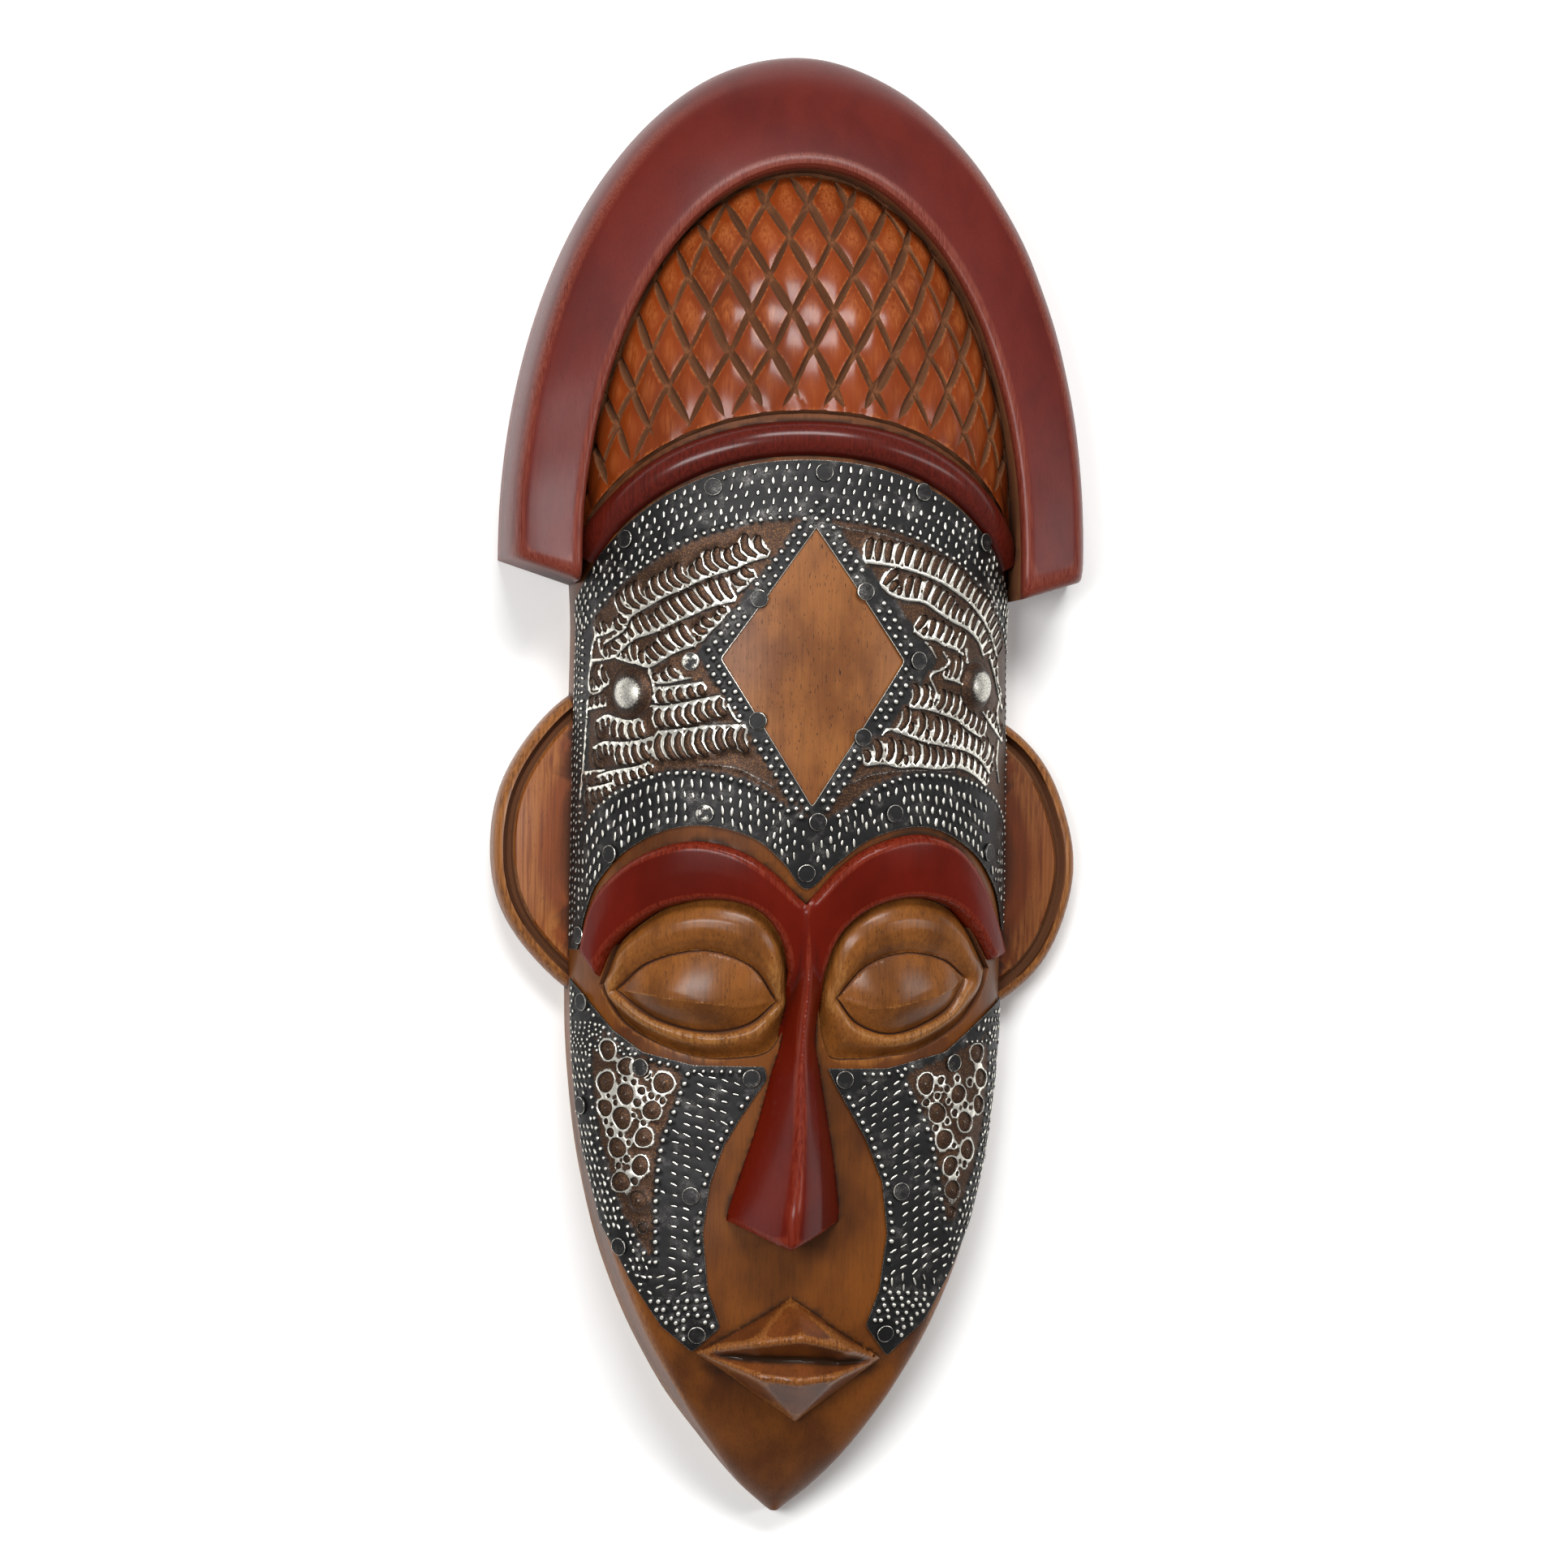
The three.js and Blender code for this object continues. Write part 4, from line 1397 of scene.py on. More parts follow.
@dataclass
class Ear:
    """A round ear plate with a raised rim and a groove carved inside it."""

    x: float
    y: float
    radius: float
    steps: int = 120
    uneven: float = 0.55
    rim: Points = (
        (-1.2, 0), (0, 1.2), (0.1, 7), (0, 12.4), (-0.4, 14.2), (-1.4, 15.8), (-2.5, 16.6), (-3.3, 16.8),
    )
    groove: Points = ((-3.8, 15.2), (-4.9, 13.4), (-6.2, 13.5), (-6.9, 15.8))
    plate: Points = ((-7.6, 16.9), (-12, 17.5), (-20, 18.2), (-34, 19.0))
    finish: StainFinish = EAR_BROWN

    def build(self) -> Piece:
        """Makes the plate.

        Returns:
            The plate, its rim tan, its groove gouged and its face orange-brown.
        """
        profile = np.array(self.rim + self.groove + self.plate)
        turns = np.linspace(0, 2 * math.pi, self.steps, endpoint=False)
        waver = self.uneven * (np.sin(5 * turns + self.x) * 0.6 + np.sin(9 * turns + 1.3) * 0.4)
        rings = []
        for drawn, z in profile:
            reach = self.radius + drawn + waver
            ring = pairs(self.x + reach * np.cos(turns), self.y + reach * np.sin(turns))
            rings.append(np.column_stack([ring, np.full(self.steps, z)]))
        ear = loft("ear", np.array(rings))
        tan, gouged, brown, back = PALETTE.give(ear, LIP_TAN, GOUGED, self.finish, RAW_BACK)
        middles = face_centres(ear)
        drawn = self.radius - np.hypot(middles[:, 0] - self.x, middles[:, 1] - self.y)
        zones = np.select([middles[:, 2] < 0.5, drawn < 3.5, drawn < 7.1], [back, tan, gouged], brown)
        paint(ear, zones)
        return ear


@dataclass
class BrowAndNose:
    """The red brow that runs down into the nose as one raised form."""

    upper: Points = (
        (-70, -57), (-67, -41), (-60, -30), (-50, -22.8), (-36.7, -19.3), (-23, -22), (-11, -29.5), (0, -40),
    )
    upper_right: Points = (
        (0, -40), (9.5, -29), (19, -21.5), (31, -17), (41.5, -16.3), (52, -20.3), (60, -29), (66.6, -42.4),
        (72, -57),
    )
    lower_right: Points = (
        (66.7, -58.5), (59, -47.8), (50.2, -40.3), (37.4, -37.3), (25.6, -39.3), (16.3, -45), (10.8, -52.4),
        (7.8, -62),
    )
    lower_left: Points = (
        (-4.8, -62), (-7.2, -52.6), (-12.9, -44.3), (-21.4, -39.8), (-33.3, -38.7), (-44.8, -41.4),
        (-53.4, -47.1), (-61, -55), (-65.3, -65.7),
    )
    nose: tuple[tuple[float, ...], ...] = (
        (-156, -4.4, 20.4, 79.5, 46), (-143, -3.6, 19, 80.5, 46), (-131, -2.4, 16.6, 78.5, 46),
        (-117, -1.4, 13.6, 75, 46), (-98, -0.8, 9.5, 70.5, 48),
        (-84, -0.2, 6.4, 68, 50), (-63, 1.3, 6.2, 68, 54), (-36, 0.3, 5.5, 70.5, 58),
    )
    section: Points = (
        (-1, 0.12), (-0.8, 0.36), (-0.5, 0.66), (-0.24, 0.89), (-0.1, 0.975), (0, 1), (0.1, 0.98),
        (0.26, 0.9), (0.52, 0.72), (0.6, 0.64), (0.82, 0.38), (1, 0.12),
    )
    cut_start: float = -146.5
    cut_tip: tuple[float, float] = (-4.4, -154.2)
    rise: float = 3.6
    edge: float = 0.9
    rounding: float = 2.4
    swell: float = 0.7
    under: float = -1.5
    merge: float = 3.0
    pitch: float = 0.85

    def nose_edge(self, side: Side, low: float, high: float) -> Array:
        """One side of the nose between two heights, from the upper end down.

        Args:
            side: Which side.
            low: The lower height.
            high: The upper height.

        Returns:
            Places seen from the front, the cut's tip last.
        """
        sizes = Stations("x half ridge foot", self.nose)
        y = np.linspace(high, low, 60)
        x = sizes.size("x", y) + side.value * sizes.size("half", y)
        return np.concatenate([pairs(x, y), [self.cut_tip]])

    def outline(self) -> Array:
        """The form's outline seen from the front.

        Returns:
            Places seen from the front.
        """
        step = self.pitch
        right_side = self.nose_edge(Side.RIGHT, self.cut_start, -66)[:-1]
        left_side = self.nose_edge(Side.LEFT, self.cut_start, -66)[::-1]
        lines = [smooth_path(self.upper, step), smooth_path(self.upper_right, step)[1:],
                 smooth_path(self.lower_right, step), even_steps(right_side, step),
                 even_steps(left_side, step), smooth_path(self.lower_left, step)]
        return np.concatenate(lines)

    def nose_height(self, x: Array, y: Array) -> Array:
        """Height of the nose over the back, far below ground outside it.

        Args:
            x: Places across.
            y: Heights on the mask.

        Returns:
            Depths in millimetres.
        """
        sizes = Stations("x half ridge foot", self.nose)
        share = (x - sizes.size("x", y)) / sizes.size("half", y)
        curve = smooth_path(self.section, 0.03)
        up = np.interp(share, curve[:, 0], curve[:, 1], left=-1, right=-1)
        foot = sizes.size("foot", y)
        height = foot + (sizes.size("ridge", y) - foot) * up
        return np.where((up < 0) | (y > -36), -100.0, height)

    def build(self) -> Piece:
        """Makes brow and nose.

        Returns:
            The form, rooted in the head.
        """
        outline = self.outline()
        flat, faces = patch(HEAD.flat(outline), self.pitch)
        inside = np.maximum(signed_distance(flat, HEAD.flat(outline)), 0)
        curve = np.sqrt(1 - (1 - np.clip(inside / self.rounding, 0, 1)) ** 2)
        raised = self.edge + (self.rise - self.edge) * curve + self.swell * (1 - np.exp(-inside / 7))
        level = ease((flat[:, 1] + 84) / 26)
        brow = HEAD.wrap(flat, self.under + (raised - self.under) * level)
        nose = self.nose_height(brow[:, 0], brow[:, 1])
        nose -= 1.6 * np.clip(1 - inside / 1.6, 0, 1) ** 2 * (brow[:, 1] < self.cut_start + 2)
        gap = np.maximum(self.merge - np.abs(brow[:, 2] - nose), 0)
        brow[:, 2] = np.maximum(brow[:, 2], nose) + gap ** 2 / (4 * self.merge)
        form = shell("brow_and_nose", brow, HEAD.wrap(flat, ROOT), faces)
        PALETTE.give(form, BROW_RED)
        return form


@dataclass
class ClosedEye:
    """A puffy closed eye: a recess, the two lids and the ball behind its line."""

    socket: Points
    upper_line: Points
    lower_line: Points
    name: str = "eye"
    floor: float = -3.3
    gap: float = 0.25
    ball_rise: float = 6.8
    upper_lid: Points = (
        (0, -2.5), (0.08, -1.4), (0.2, 0.6), (0.36, 2.1), (0.55, 2.7), (0.74, 2.2), (0.9, 1.0), (1, -0.2),
    )
    lower_lid: Points = (
        (0, -2.5), (0.15, -1.7), (0.32, 0), (0.48, 1.5), (0.64, 2.4), (0.8, 2.6), (0.92, 1.8), (1, 0.3),
    )
    pitch: float = 0.8

    def outlines(self) -> tuple[Array, Array, Array, Array]:
        """Socket, ball and the ball's two lines, laid out flat.

        Returns:
            Four lines of places.
        """
        socket = HEAD.flat(smooth_path(self.socket + self.socket[:1], self.pitch)[:-1])
        upper = HEAD.curve(self.upper_line, self.pitch)
        lower = HEAD.curve(self.lower_line, self.pitch)
        return socket, np.concatenate([upper, lower[1:-1]]), upper, lower

    def recess(self) -> Piece:
        """The tool that sinks the socket into the head.

        Returns:
            The tool.
        """
        socket = self.outlines()[0]
        flat, faces = patch(socket, 2.0)
        tool = shell("socket", HEAD.wrap(flat, 14.0), HEAD.wrap(flat, self.floor), faces)
        PALETTE.give(tool, GOUGED)
        return tool

    def lift(self, flat: Array) -> Array:
        """Height of lids and ball over the plain head.

        Args:
            flat: Rows of arc length and height.

        Returns:
            The lifts.
        """
        socket, ball, upper, lower = self.outlines()
        inside = np.maximum(signed_distance(flat, socket), 0)
        ball_in = signed_distance(flat, ball)
        share = inside / np.maximum(inside + np.maximum(-ball_in, 0), TINY)
        above, below = line_distance(flat, upper), line_distance(flat, lower)
        over = ease(0.5 + (below - above) / 8)
        high = np.interp(share, *np.array(self.upper_lid).T)
        low = np.interp(share, *np.array(self.lower_lid).T)
        lids = low + (high - low) * over
        up, down = np.minimum(above / 14, 1.2), np.minimum(below / 10.5, 1.2)
        facet = np.clip(np.minimum(up, down) - 0.11 * np.exp(-(np.abs(up - down) / 0.34) ** 2), 0, 1.1)
        mound = 0.3 + self.ball_rise * (0.78 * facet + 0.22 * (1 - (1 - np.minimum(facet, 1)) ** 2.4))
        return np.where(ball_in > 0, mound, lids)

    def build(self) -> Piece:
        """Makes lids and ball.

        Returns:
            The form, rooted in the head.
        """
        socket, ball, _, _ = self.outlines()
        layout = Layout(inset(socket, self.gap))
        layout.ring(ball, (0, 0, 0))
        fill = hex_fill(layout.outline, self.pitch, 0.5 * self.pitch)
        clear = np.abs(signed_distance(fill, ball)) > 0.45 * self.pitch
        layout.scatter(fill[clear], (0, 0, 0))
        flat, _, faces = layout.triangles()
        form = shell(self.name, HEAD.wrap(flat, self.lift(flat)), HEAD.wrap(flat, ROOT - 1), faces)
        PALETTE.give(form, EYE_GOLD)
        return form

    def lines(self) -> list[Piece]:
        """The two lines cut round the ball.

        Returns:
            One tool for each line.
        """
        tools = []
        for number, line in enumerate(self.outlines()[2:]):
            angle = HEAD.bend(line)
            normals = HEAD.normal(angle, line[:, 1])
            places = HEAD.wrap(line, 0.15)
            tools.append(score(f"eye_line_{number}", places, normals, 1.25, 1.15))
        return tools


EYES = (
    ClosedEye(
        name="eye_left",
        socket=((-65.5, -68.5), (-61, -55), (-53.4, -47.1), (-44.8, -41.4), (-33.3, -38.7), (-21.4, -39.8),
            (-12.9, -44.3), (-7.2, -52.6), (-4.4, -64), (-4, -76), (-9, -89), (-20, -92.2), (-34, -92),
            (-47.6, -87.4), (-58.4, -80.4)),
        upper_line=((-60, -70), (-50, -60.4), (-33, -56), (-17, -61), (-8, -72.6)),
        lower_line=((-8, -72.6), (-17, -80.6), (-31, -83.2), (-47, -79.2), (-60, -70)),
    ),
    ClosedEye(
        name="eye_right",
        socket=((67.8, -61.5), (59, -47.8), (50.2, -40.3), (37.4, -37.3), (25.6, -39.3), (16.3, -45),
            (10.8, -52.4), (7.8, -64), (6.4, -76), (10, -90.5), (19, -92.2), (30, -91.3), (42.2, -89),
            (57.6, -80.1), (64.5, -71)),
        upper_line=((12.3, -71.3), (22, -60.4), (35, -56), (49, -58.2), (58, -64.6)),
        lower_line=((58, -64.6), (50, -76), (33, -83.2), (20, -80), (12.3, -71.3)),
    ),
)


@dataclass
class Lips:
    """The lozenge of the mouth, carved in flat facets with softened ridges."""

    pitch: float = 0.8
    soften: float = 0.9
    points = {
        "apex": (-0.7, -172.5, 50), "left": (-31.5, -191.5, 42.5), "right": (31.3, -193.4, 42.5),
        "tip": (3.4, -215.5, 37), "upper_left": (-14.5, -187, 60), "upper_mid": (2, -185, 62.5),
        "upper_right": (19.5, -189, 59.5), "slot_left": (-12, -192.4, 51.5), "slot_mid": (1.5, -192.6, 52.5),
        "slot_right": (15, -193.6, 51.5), "lower_left": (-12.5, -198.6, 56.5), "lower_mid": (1.3, -200, 58.5),
        "lower_right": (15, -198.6, 56.5),
    }
    facets = (
        "apex left upper_left", "apex upper_left upper_mid", "apex upper_mid upper_right",
        "apex upper_right right", "left slot_left upper_left", "upper_left slot_left slot_mid",
        "upper_left slot_mid upper_mid", "upper_mid slot_mid slot_right", "upper_mid slot_right upper_right",
        "upper_right slot_right right", "left lower_left slot_left", "slot_left lower_left lower_mid",
        "slot_left lower_mid slot_mid", "slot_mid lower_mid lower_right", "slot_mid lower_right slot_right",
        "slot_right lower_right right", "left tip lower_left", "lower_left tip lower_mid",
        "lower_mid tip lower_right", "lower_right tip right",
    )

    @classmethod
    def outline(cls) -> Array:
        """The lozenge's four corners seen from the front, joined by short steps."""
        corners = [cls.points[name][:2] for name in ("apex", "left", "tip", "right", "apex")]
        return even_steps(np.array(corners, float), 1.2, closed=True)

    def height(self, places: Array) -> Array:
        """Height of the facets over the back at places seen from the front.

        Args:
            places: Rows of x and y.

        Returns:
            The heights.
        """
        best = np.full(len(places), -np.inf)
        height = np.full(len(places), 30.0)
        for facet in self.facets:
            a, b, c = (np.array(self.points[name], float) for name in facet.split())
            base = np.array([b[:2] - a[:2], c[:2] - a[:2]]).T
            shares = np.linalg.solve(base, (places - a[:2]).T)
            deep = np.minimum(np.minimum(shares[0], shares[1]), 1 - shares[0] - shares[1])
            here = deep > best
            best = np.where(here, deep, best)
            height = np.where(here, a[2] + shares[0] * (b[2] - a[2]) + shares[1] * (c[2] - a[2]), height)
        return height

    def build(self) -> Piece:
        """Makes the lips.

        Returns:
            The form, rooted in the head.
        """
        outline = HEAD.flat(self.outline())
        flat, faces = patch(outline, self.pitch)
        base = HEAD.wrap(flat)
        seen, around = base[:, :2], self.soften * circle(8)
        height = sum(self.height(seen + step) for step in around) / len(around)
        inside = np.maximum(signed_distance(flat, outline), 0)
        round_off = 0.7 * (1 - np.sqrt(1 - (1 - np.clip(inside / 1.1, 0, 1)) ** 2))
        top = np.column_stack([seen, height - round_off])
        form = shell("lips", top, HEAD.wrap(flat, ROOT), faces)
        PALETTE.give(form, LIP_WAX)
        return form


@dataclass
class Hollow:
    """The space carved out of the back with a gouge, its marks left."""

    wall: float = 13.0
    roof: float = 14.0
    low: float = -206.0
    high: float = 194.0
    spring: float = 4.0
    rounding: float = 26.0
    closed: float = 0.55
    row_step: float = 3.2
    around: int = 72
    mark_width: float = 13.0
    mark_length: float = 34.0
    mark_depth: float = 0.8

    def marks(self, along: Array, y: float) -> Array:
        """Depth of the gouge's overlapping strokes.

        Args:
            along: Arc lengths round the hollow.
            y: Height on the mask.

        Returns:
            The depths.
        """
        column = along / self.mark_width
        shift = np.floor(column) * 0.37
        row = y / self.mark_length + shift
        across = 1 - (2 * (column - np.floor(column)) - 1) ** 2
        long = 1 - (2 * (row - np.floor(row)) - 1) ** 2
        return self.mark_depth * across * (0.4 + 0.6 * long)

    def build(self) -> Piece:
        """Makes the tool that empties the back.

        Returns:
            The tool, in bare wood.
        """
        rings = []
        for y in np.arange(self.low, self.high + 0.01, (self.high - self.low) / 125):
            end = min(y - self.low, self.high - y) / self.rounding
            near = math.sqrt(max(0, 1 - (1 - min(end, 1)) ** 2))
            closing = self.closed + (1 - self.closed) * near
            half = (float(HEAD.size("half", y)) - self.wall) * closing
            roof = (float(HEAD.size("crown", y)) - self.roof) * closing
            turns = np.linspace(-math.pi / 2, math.pi / 2, self.around)
            out = self.marks(turns * (half + roof) / 2, y) * near
            x = (half + out) * np.sin(turns)
            z = self.spring + (roof + out - self.spring) * np.cos(turns)
            front = np.column_stack([x, np.full(len(x), y), z])
            feet = np.array([[-half, y, -2.0], [half, y, -2.0]])
            rings.append(np.concatenate([feet[:1], front, feet[1:]]))
        tool = loft("hollow", np.array(rings))
        PALETTE.give(tool, RAW_BACK)
        return tool


@dataclass
class CarvedWood:
    """The whole carving, joined and cut as one solid."""

    # The ear at the right carries painted shade in its darker finish.
    ears: tuple[Ear, ...] = (Ear(-40.5, -21, 60), Ear(41.6, -26, 58.8, finish=EAR_PAINTED_SHADE))
    waver: float = 0.16
    waver_size: float = 34.0
    most_triangles: int = 190_000
    crease: float = 34.0

    def build(self) -> Piece:
        """Carves the mask.

        Returns:
            The finished piece.
        """
        wood = HeadBlock().build()
        dome, hood, band = HairDome(), Hood(), RidgeBand()
        for eye in EYES:
            combine(wood, eye.recess(), Step.CUT)
        for form in (dome.build(), band.build(), BrowAndNose().build(), Lips().build()):
            combine(wood, form, Step.ADD)
        for eye in EYES:
            combine(wood, eye.build(), Step.ADD)
        for tool in [*dome.strokes(), band.foot_line(), *(line for eye in EYES for line in eye.lines())]:
            combine(wood, tool, Step.CUT)
        combine(wood, hood.groove(), Step.CUT)
        for form in (hood.build(), *(ear.build() for ear in self.ears)):
            combine(wood, form, Step.ADD)
        combine(wood, Hollow().build(), Step.CUT)
        self.finish(wood)
        return wood

    def finish(self, wood: Piece) -> None:
        """Evens out the mesh, leaves the hand's waver in it and marks recesses for painted shade and edges
        for wear.

        Args:
            wood: The joined carving.
        """
        count = triangle_count(wood)
        LOG.info("carving: %d triangles before it is thinned", count)
        if count > self.most_triangles:
            thin = wood.modifiers.new("thin", "DECIMATE")
            thin.ratio = self.most_triangles / count
            only(wood)
            bpy.ops.object.modifier_apply(modifier=thin.name)
        places = coordinates(wood)
        normals = read_rows(wood.data.vertices, "normal")
        deep = np.clip(self.hollowness(wood, places, normals) / 0.55, -1, 1)
        # recess darkens the finishes in the hollows as painted shade; edge lightens them as wear.
        store(wood, "recess", ease(deep * 1.25 - 0.1))
        store(wood, "edge", ease(-deep * 1.2 - 0.15))
        swell = self.waver * smooth_noise(places, self.waver_size, 5) * (places[:, 2] > 2)
        move_to(wood, places + normals * swell[:, None])
        only(wood)
        bpy.ops.object.shade_smooth_by_angle(angle=math.radians(self.crease))

    def hollowness(self, wood: Piece, places: Array, normals: Array) -> Array:
        """How far each vertex lies below its surroundings, in millimetres.

        Args:
            wood: The joined carving.
            places: Its vertices.
            normals: Their outward directions.

        Returns:
            The depths, negative on an edge.
        """
        edges = np.empty(len(wood.data.edges) * 2, np.int32)
        wood.data.edges.foreach_get("vertices", edges)
        a, b = edges.reshape(-1, 2).T
        weight = 1 / np.maximum(np.linalg.norm(places[a] - places[b], axis=1), 0.15)
        count = len(places)
        total = np.bincount(a, weight, count) + np.bincount(b, weight, count)
        soft = places.copy()
        for _ in range(14):
            drawn = [np.bincount(a, weight * soft[b, k], count) + np.bincount(b, weight * soft[a, k], count)
                     for k in range(3)]
            soft = 0.4 * soft + 0.6 * pairs(*drawn) / np.maximum(total, TINY)[:, None]
        return np.sum((soft - places) * normals, axis=1)


def triangle_count(obj: Piece) -> int:
    """Number of triangles that an object's faces come to."""
    obj.data.calc_loop_triangles()
    return len(obj.data.loop_triangles)


@dataclass(frozen=True)
class Dash:
    """A short punched stroke: its length, width and height."""

    length: float = 2.15
    width: float = 0.72
    rise: float = 0.5
    bright: float = 1.0


@dataclass(init=False)
class EmbossedSheet:
    """A thin metal sheet wrapped on the head, punched all over.

    Marks are laid out flat, each as rings inside one another, and a mark that would touch
    another, a nail or the sheet's edge is left out.
    """

    face: float = 1.0
    gap: float = 0.3
    thickness: float = 0.6
    lowest: float = 21.0
    nail_clear: float = 3.7
    finger_pitch: float = 3.45
    finger_half: float = 1.2
    waviness: float = 0.1
    pitch: float = 1.5
    crease_angle: float = 62.0

    def __init__(self, name: str, outline: Array, nails: Rows, seed: int) -> None:
        """Starts a plain sheet.

        Args:
            name: The piece's name.
            outline: Its outline as arc length and height.
            nails: Places of its nails seen from the front.
            seed: Picks the unevenness of the punching.
        """
        self.name = name
        self.outline = even_steps(looped(outline), 1.1, closed=True)
        self.layout = Layout(self.outline, (0.0, 0.5, 0.0))
        self.draw = np.random.default_rng(seed)
        self.guards: list[Array] = [self.outline]
        self.boxes: list[list[float]] = [[0.0, 1e6, 0.0, 1e6]]
        self.taken = self.outline.copy()
        lip = inset(self.outline, 0.42)
        self.layout.ring(lip, (0.05, 0.0, 0.0))
        self.taken = np.concatenate([self.taken, lip])
        self.nails = HEAD.flat(nails)
        self.holes: list[Array] = []

    def is_free(self, ring: Array, clear: float) -> bool:
        """Whether a mark's outer ring touches nothing and lies on the sheet.

        Args:
            ring: The mark's outer ring.
            clear: Least distance to anything else.

        Returns:
            True where there is room.
        """
        low, high = ring.min(axis=0) - clear, ring.max(axis=0) + clear
        near = self.taken[np.all((self.taken > low) & (self.taken < high), axis=1)]
        if len(near) and spread(ring, near) < clear:
            return False
        if len(near) and signed_distance(near, ring).max() > 0:
            return False
        if spread(ring, self.nails) < self.nail_clear:
            return False
        if any(signed_distance(ring[:1], hole)[0] > 0 for hole in self.holes):
            return False
        boxes = np.array(self.boxes)
        apart = np.any(boxes[:, :2] > high, axis=1) | np.any(boxes[:, 2:] < low, axis=1)
        for number in np.flatnonzero(~apart):
            if signed_distance(ring[::2], self.guards[number]).max() > 0:
                return False
        return bool(signed_distance(ring[:1], self.outline)[0] > clear)

    def mark(self, rings: Sequence[tuple[Array, Sequence[float]]], clear: float = 0.3) -> bool:
        """Adds a mark made of rings, the outermost first.

        Args:
            rings: Each ring's places and load.
            clear: Least distance to anything else.

        Returns:
            Whether there was room for it.
        """
        if not self.is_free(rings[0][0], clear):
            return False
        for places, load in rings:
            self.layout.ring(places, load)
            self.taken = np.concatenate([self.taken, places])
        ring = rings[0][0]
        self.guards.append(ring)
        self.boxes.append([*ring.min(axis=0), *ring.max(axis=0)])
        return True

    def bead(self, at: Array, radius: float = 0.95, rise: float = 0.62) -> None:
        """Punches one round bead.

        Args:
            at: Its place, laid out flat.
            radius: Its radius.
            rise: Its height.
        """
        round_off = circle(9)
        at = np.asarray(at) + self.draw.uniform(-0.14, 0.14, 2)
        radius = radius * self.draw.uniform(0.88, 1.1)
        steps = ((1.0, (0, 0, 0)), (0.72, (rise * 0.62, 0.4, 0)), (0.34, (rise * 0.97, 1, 0)))
        if self.mark([(at + round_off * radius * share, load) for share, load in steps]):
            self.layout.scatter(at[None], (rise, 1.0, 0.0))

    def dash(self, at: Array, angle: float, kind: Dash = Dash()) -> None:
        """Punches one short stroke at an angle to the sheet's width.

        Args:
            at: Its place, laid out flat.
            angle: The angle.
            kind: Its size.
        """
        angle = angle + self.draw.uniform(-0.22, 0.22)
        long = kind.length * self.draw.uniform(0.62, 1.15)
        wide = kind.width * self.draw.uniform(0.8, 1.2)
        way = np.array([math.cos(angle), math.sin(angle)])
        aside = np.array([-way[1], way[0]])
        at = np.asarray(at) + self.draw.uniform(-0.25, 0.25, 2)
        bright = kind.bright * self.draw.uniform(0.6, 1.0)
        along, across = circle(10).T[:, :, None]
        rings = []
        for grow, lift, polish in ((0.3, -0.1, 0), (0.03, kind.rise * 0.8, 0.7), (-0.15, kind.rise, 1.0)):
            places = at + way * (long / 2 + grow) * along + aside * (wide / 2 + grow) * across
            rings.append((places, (lift, polish * bright, 0.0)))
        self.mark(rings, 0.22)

    def bead_row(self, line: Array, pitch: float, radius: float = 0.95, rise: float = 0.62) -> None:
        """Punches beads along a line laid out flat."""
        for place in even_steps(line, pitch):
            self.bead(place, radius, rise)

    def dash_rows(self, upper: Array, lower: Array, shares: Sequence[float], pitch: float, lean: float,
                  kind: Dash) -> None:
        """Punches staggered rows of strokes between two lines laid out flat.

        Args:
            upper: The line that the rows start under.
            lower: The line that they end over, with as many places.
            shares: Where each row runs between the two.
            pitch: Distance between strokes.
            lean: Angle of the strokes to the sheet's width.
            kind: Their size.
        """
        for number, share in enumerate(shares):
            line = even_steps(upper + (lower - upper) * share, pitch / 2)
            for place in line[1 + number % 2::2]:
                self.dash(place, lean, kind)

    def fingers(self, line: Array, long: float, lean: float, bow: float) -> None:
        """Presses brown fingers side by side along a line, with bright ridges left between them.

        Args:
            line: The line they stand on, laid out flat, from left to right.
            long: Their length, negative for fingers that hang down.
            lean: How far a tip is shifted to the right.
            bow: How far the middle is shifted to the right.
        """
        feet = even_steps(line, self.finger_pitch)
        run = unit(np.gradient(feet, axis=0))
        out = pairs(-run[:, 1], run[:, 0]) * math.copysign(1, long)
        for foot, along, up in zip(feet, run, out):
            turned = self.draw.uniform(-0.3, 0.3)
            for size in (1.3, 1.2, 1.1, 1.0, 0.9, 0.8, 0.7, 0.6, 0.5, 0.4):
                shape = (abs(long) * size, (lean + turned) * size, bow * size, min(1.0, size + 0.2))
                if self.finger(foot, along, up, shape):
                    break

    def finger(self, foot: Array, run: Array, out: Array, shape: tuple[float, float, float, float]) -> bool:
        """Presses one finger, its bright rim fading towards the tip.

        Args:
            foot: The middle of its foot.
            run: The way along the line that it stands on.
            out: The way from the foot to the tip.
            shape: Its length, lean, bow and share of the full width.

        Returns:
            Whether there was room for it.
        """
        long, lean, bow, wide = shape
        shares = np.array([0.0, 0.2, 0.45, 0.72, 0.93])
        widths = np.array([0.5, 0.84, 1.0, 1.02, 0.66]) * wide * self.finger_half
        middle = foot + out * (0.75 + (long - 0.75) * shares)[:, None]
        middle = middle + run * (lean * shares + bow * 4 * shares * (1 - shares))[:, None]
        way = unit(out * long + run * (lean + bow * 4 * (1 - 2 * shares))[:, None])
        aside = pairs(way[:, 1], -way[:, 0])
        dull = 1 - 0.5 * ease((abs(foot[0]) - 66) / 14)
        bright = ease((1.12 - np.concatenate([shares, [1.0], shares[::-1]])) / 0.45)
        bright *= dull * self.draw.uniform(0.7, 1.0)
        none = np.zeros(len(bright))
        rings = []
        rim = pairs(none + 0.42, bright, 1 - bright)
        for grow, load in ((0.3, rim), (0.0, (-0.15, 0.0, 0.1)), (-0.36, (0.12, 0.1, 1.0))):
            half = np.maximum(widths + grow, 0.12)[:, None]
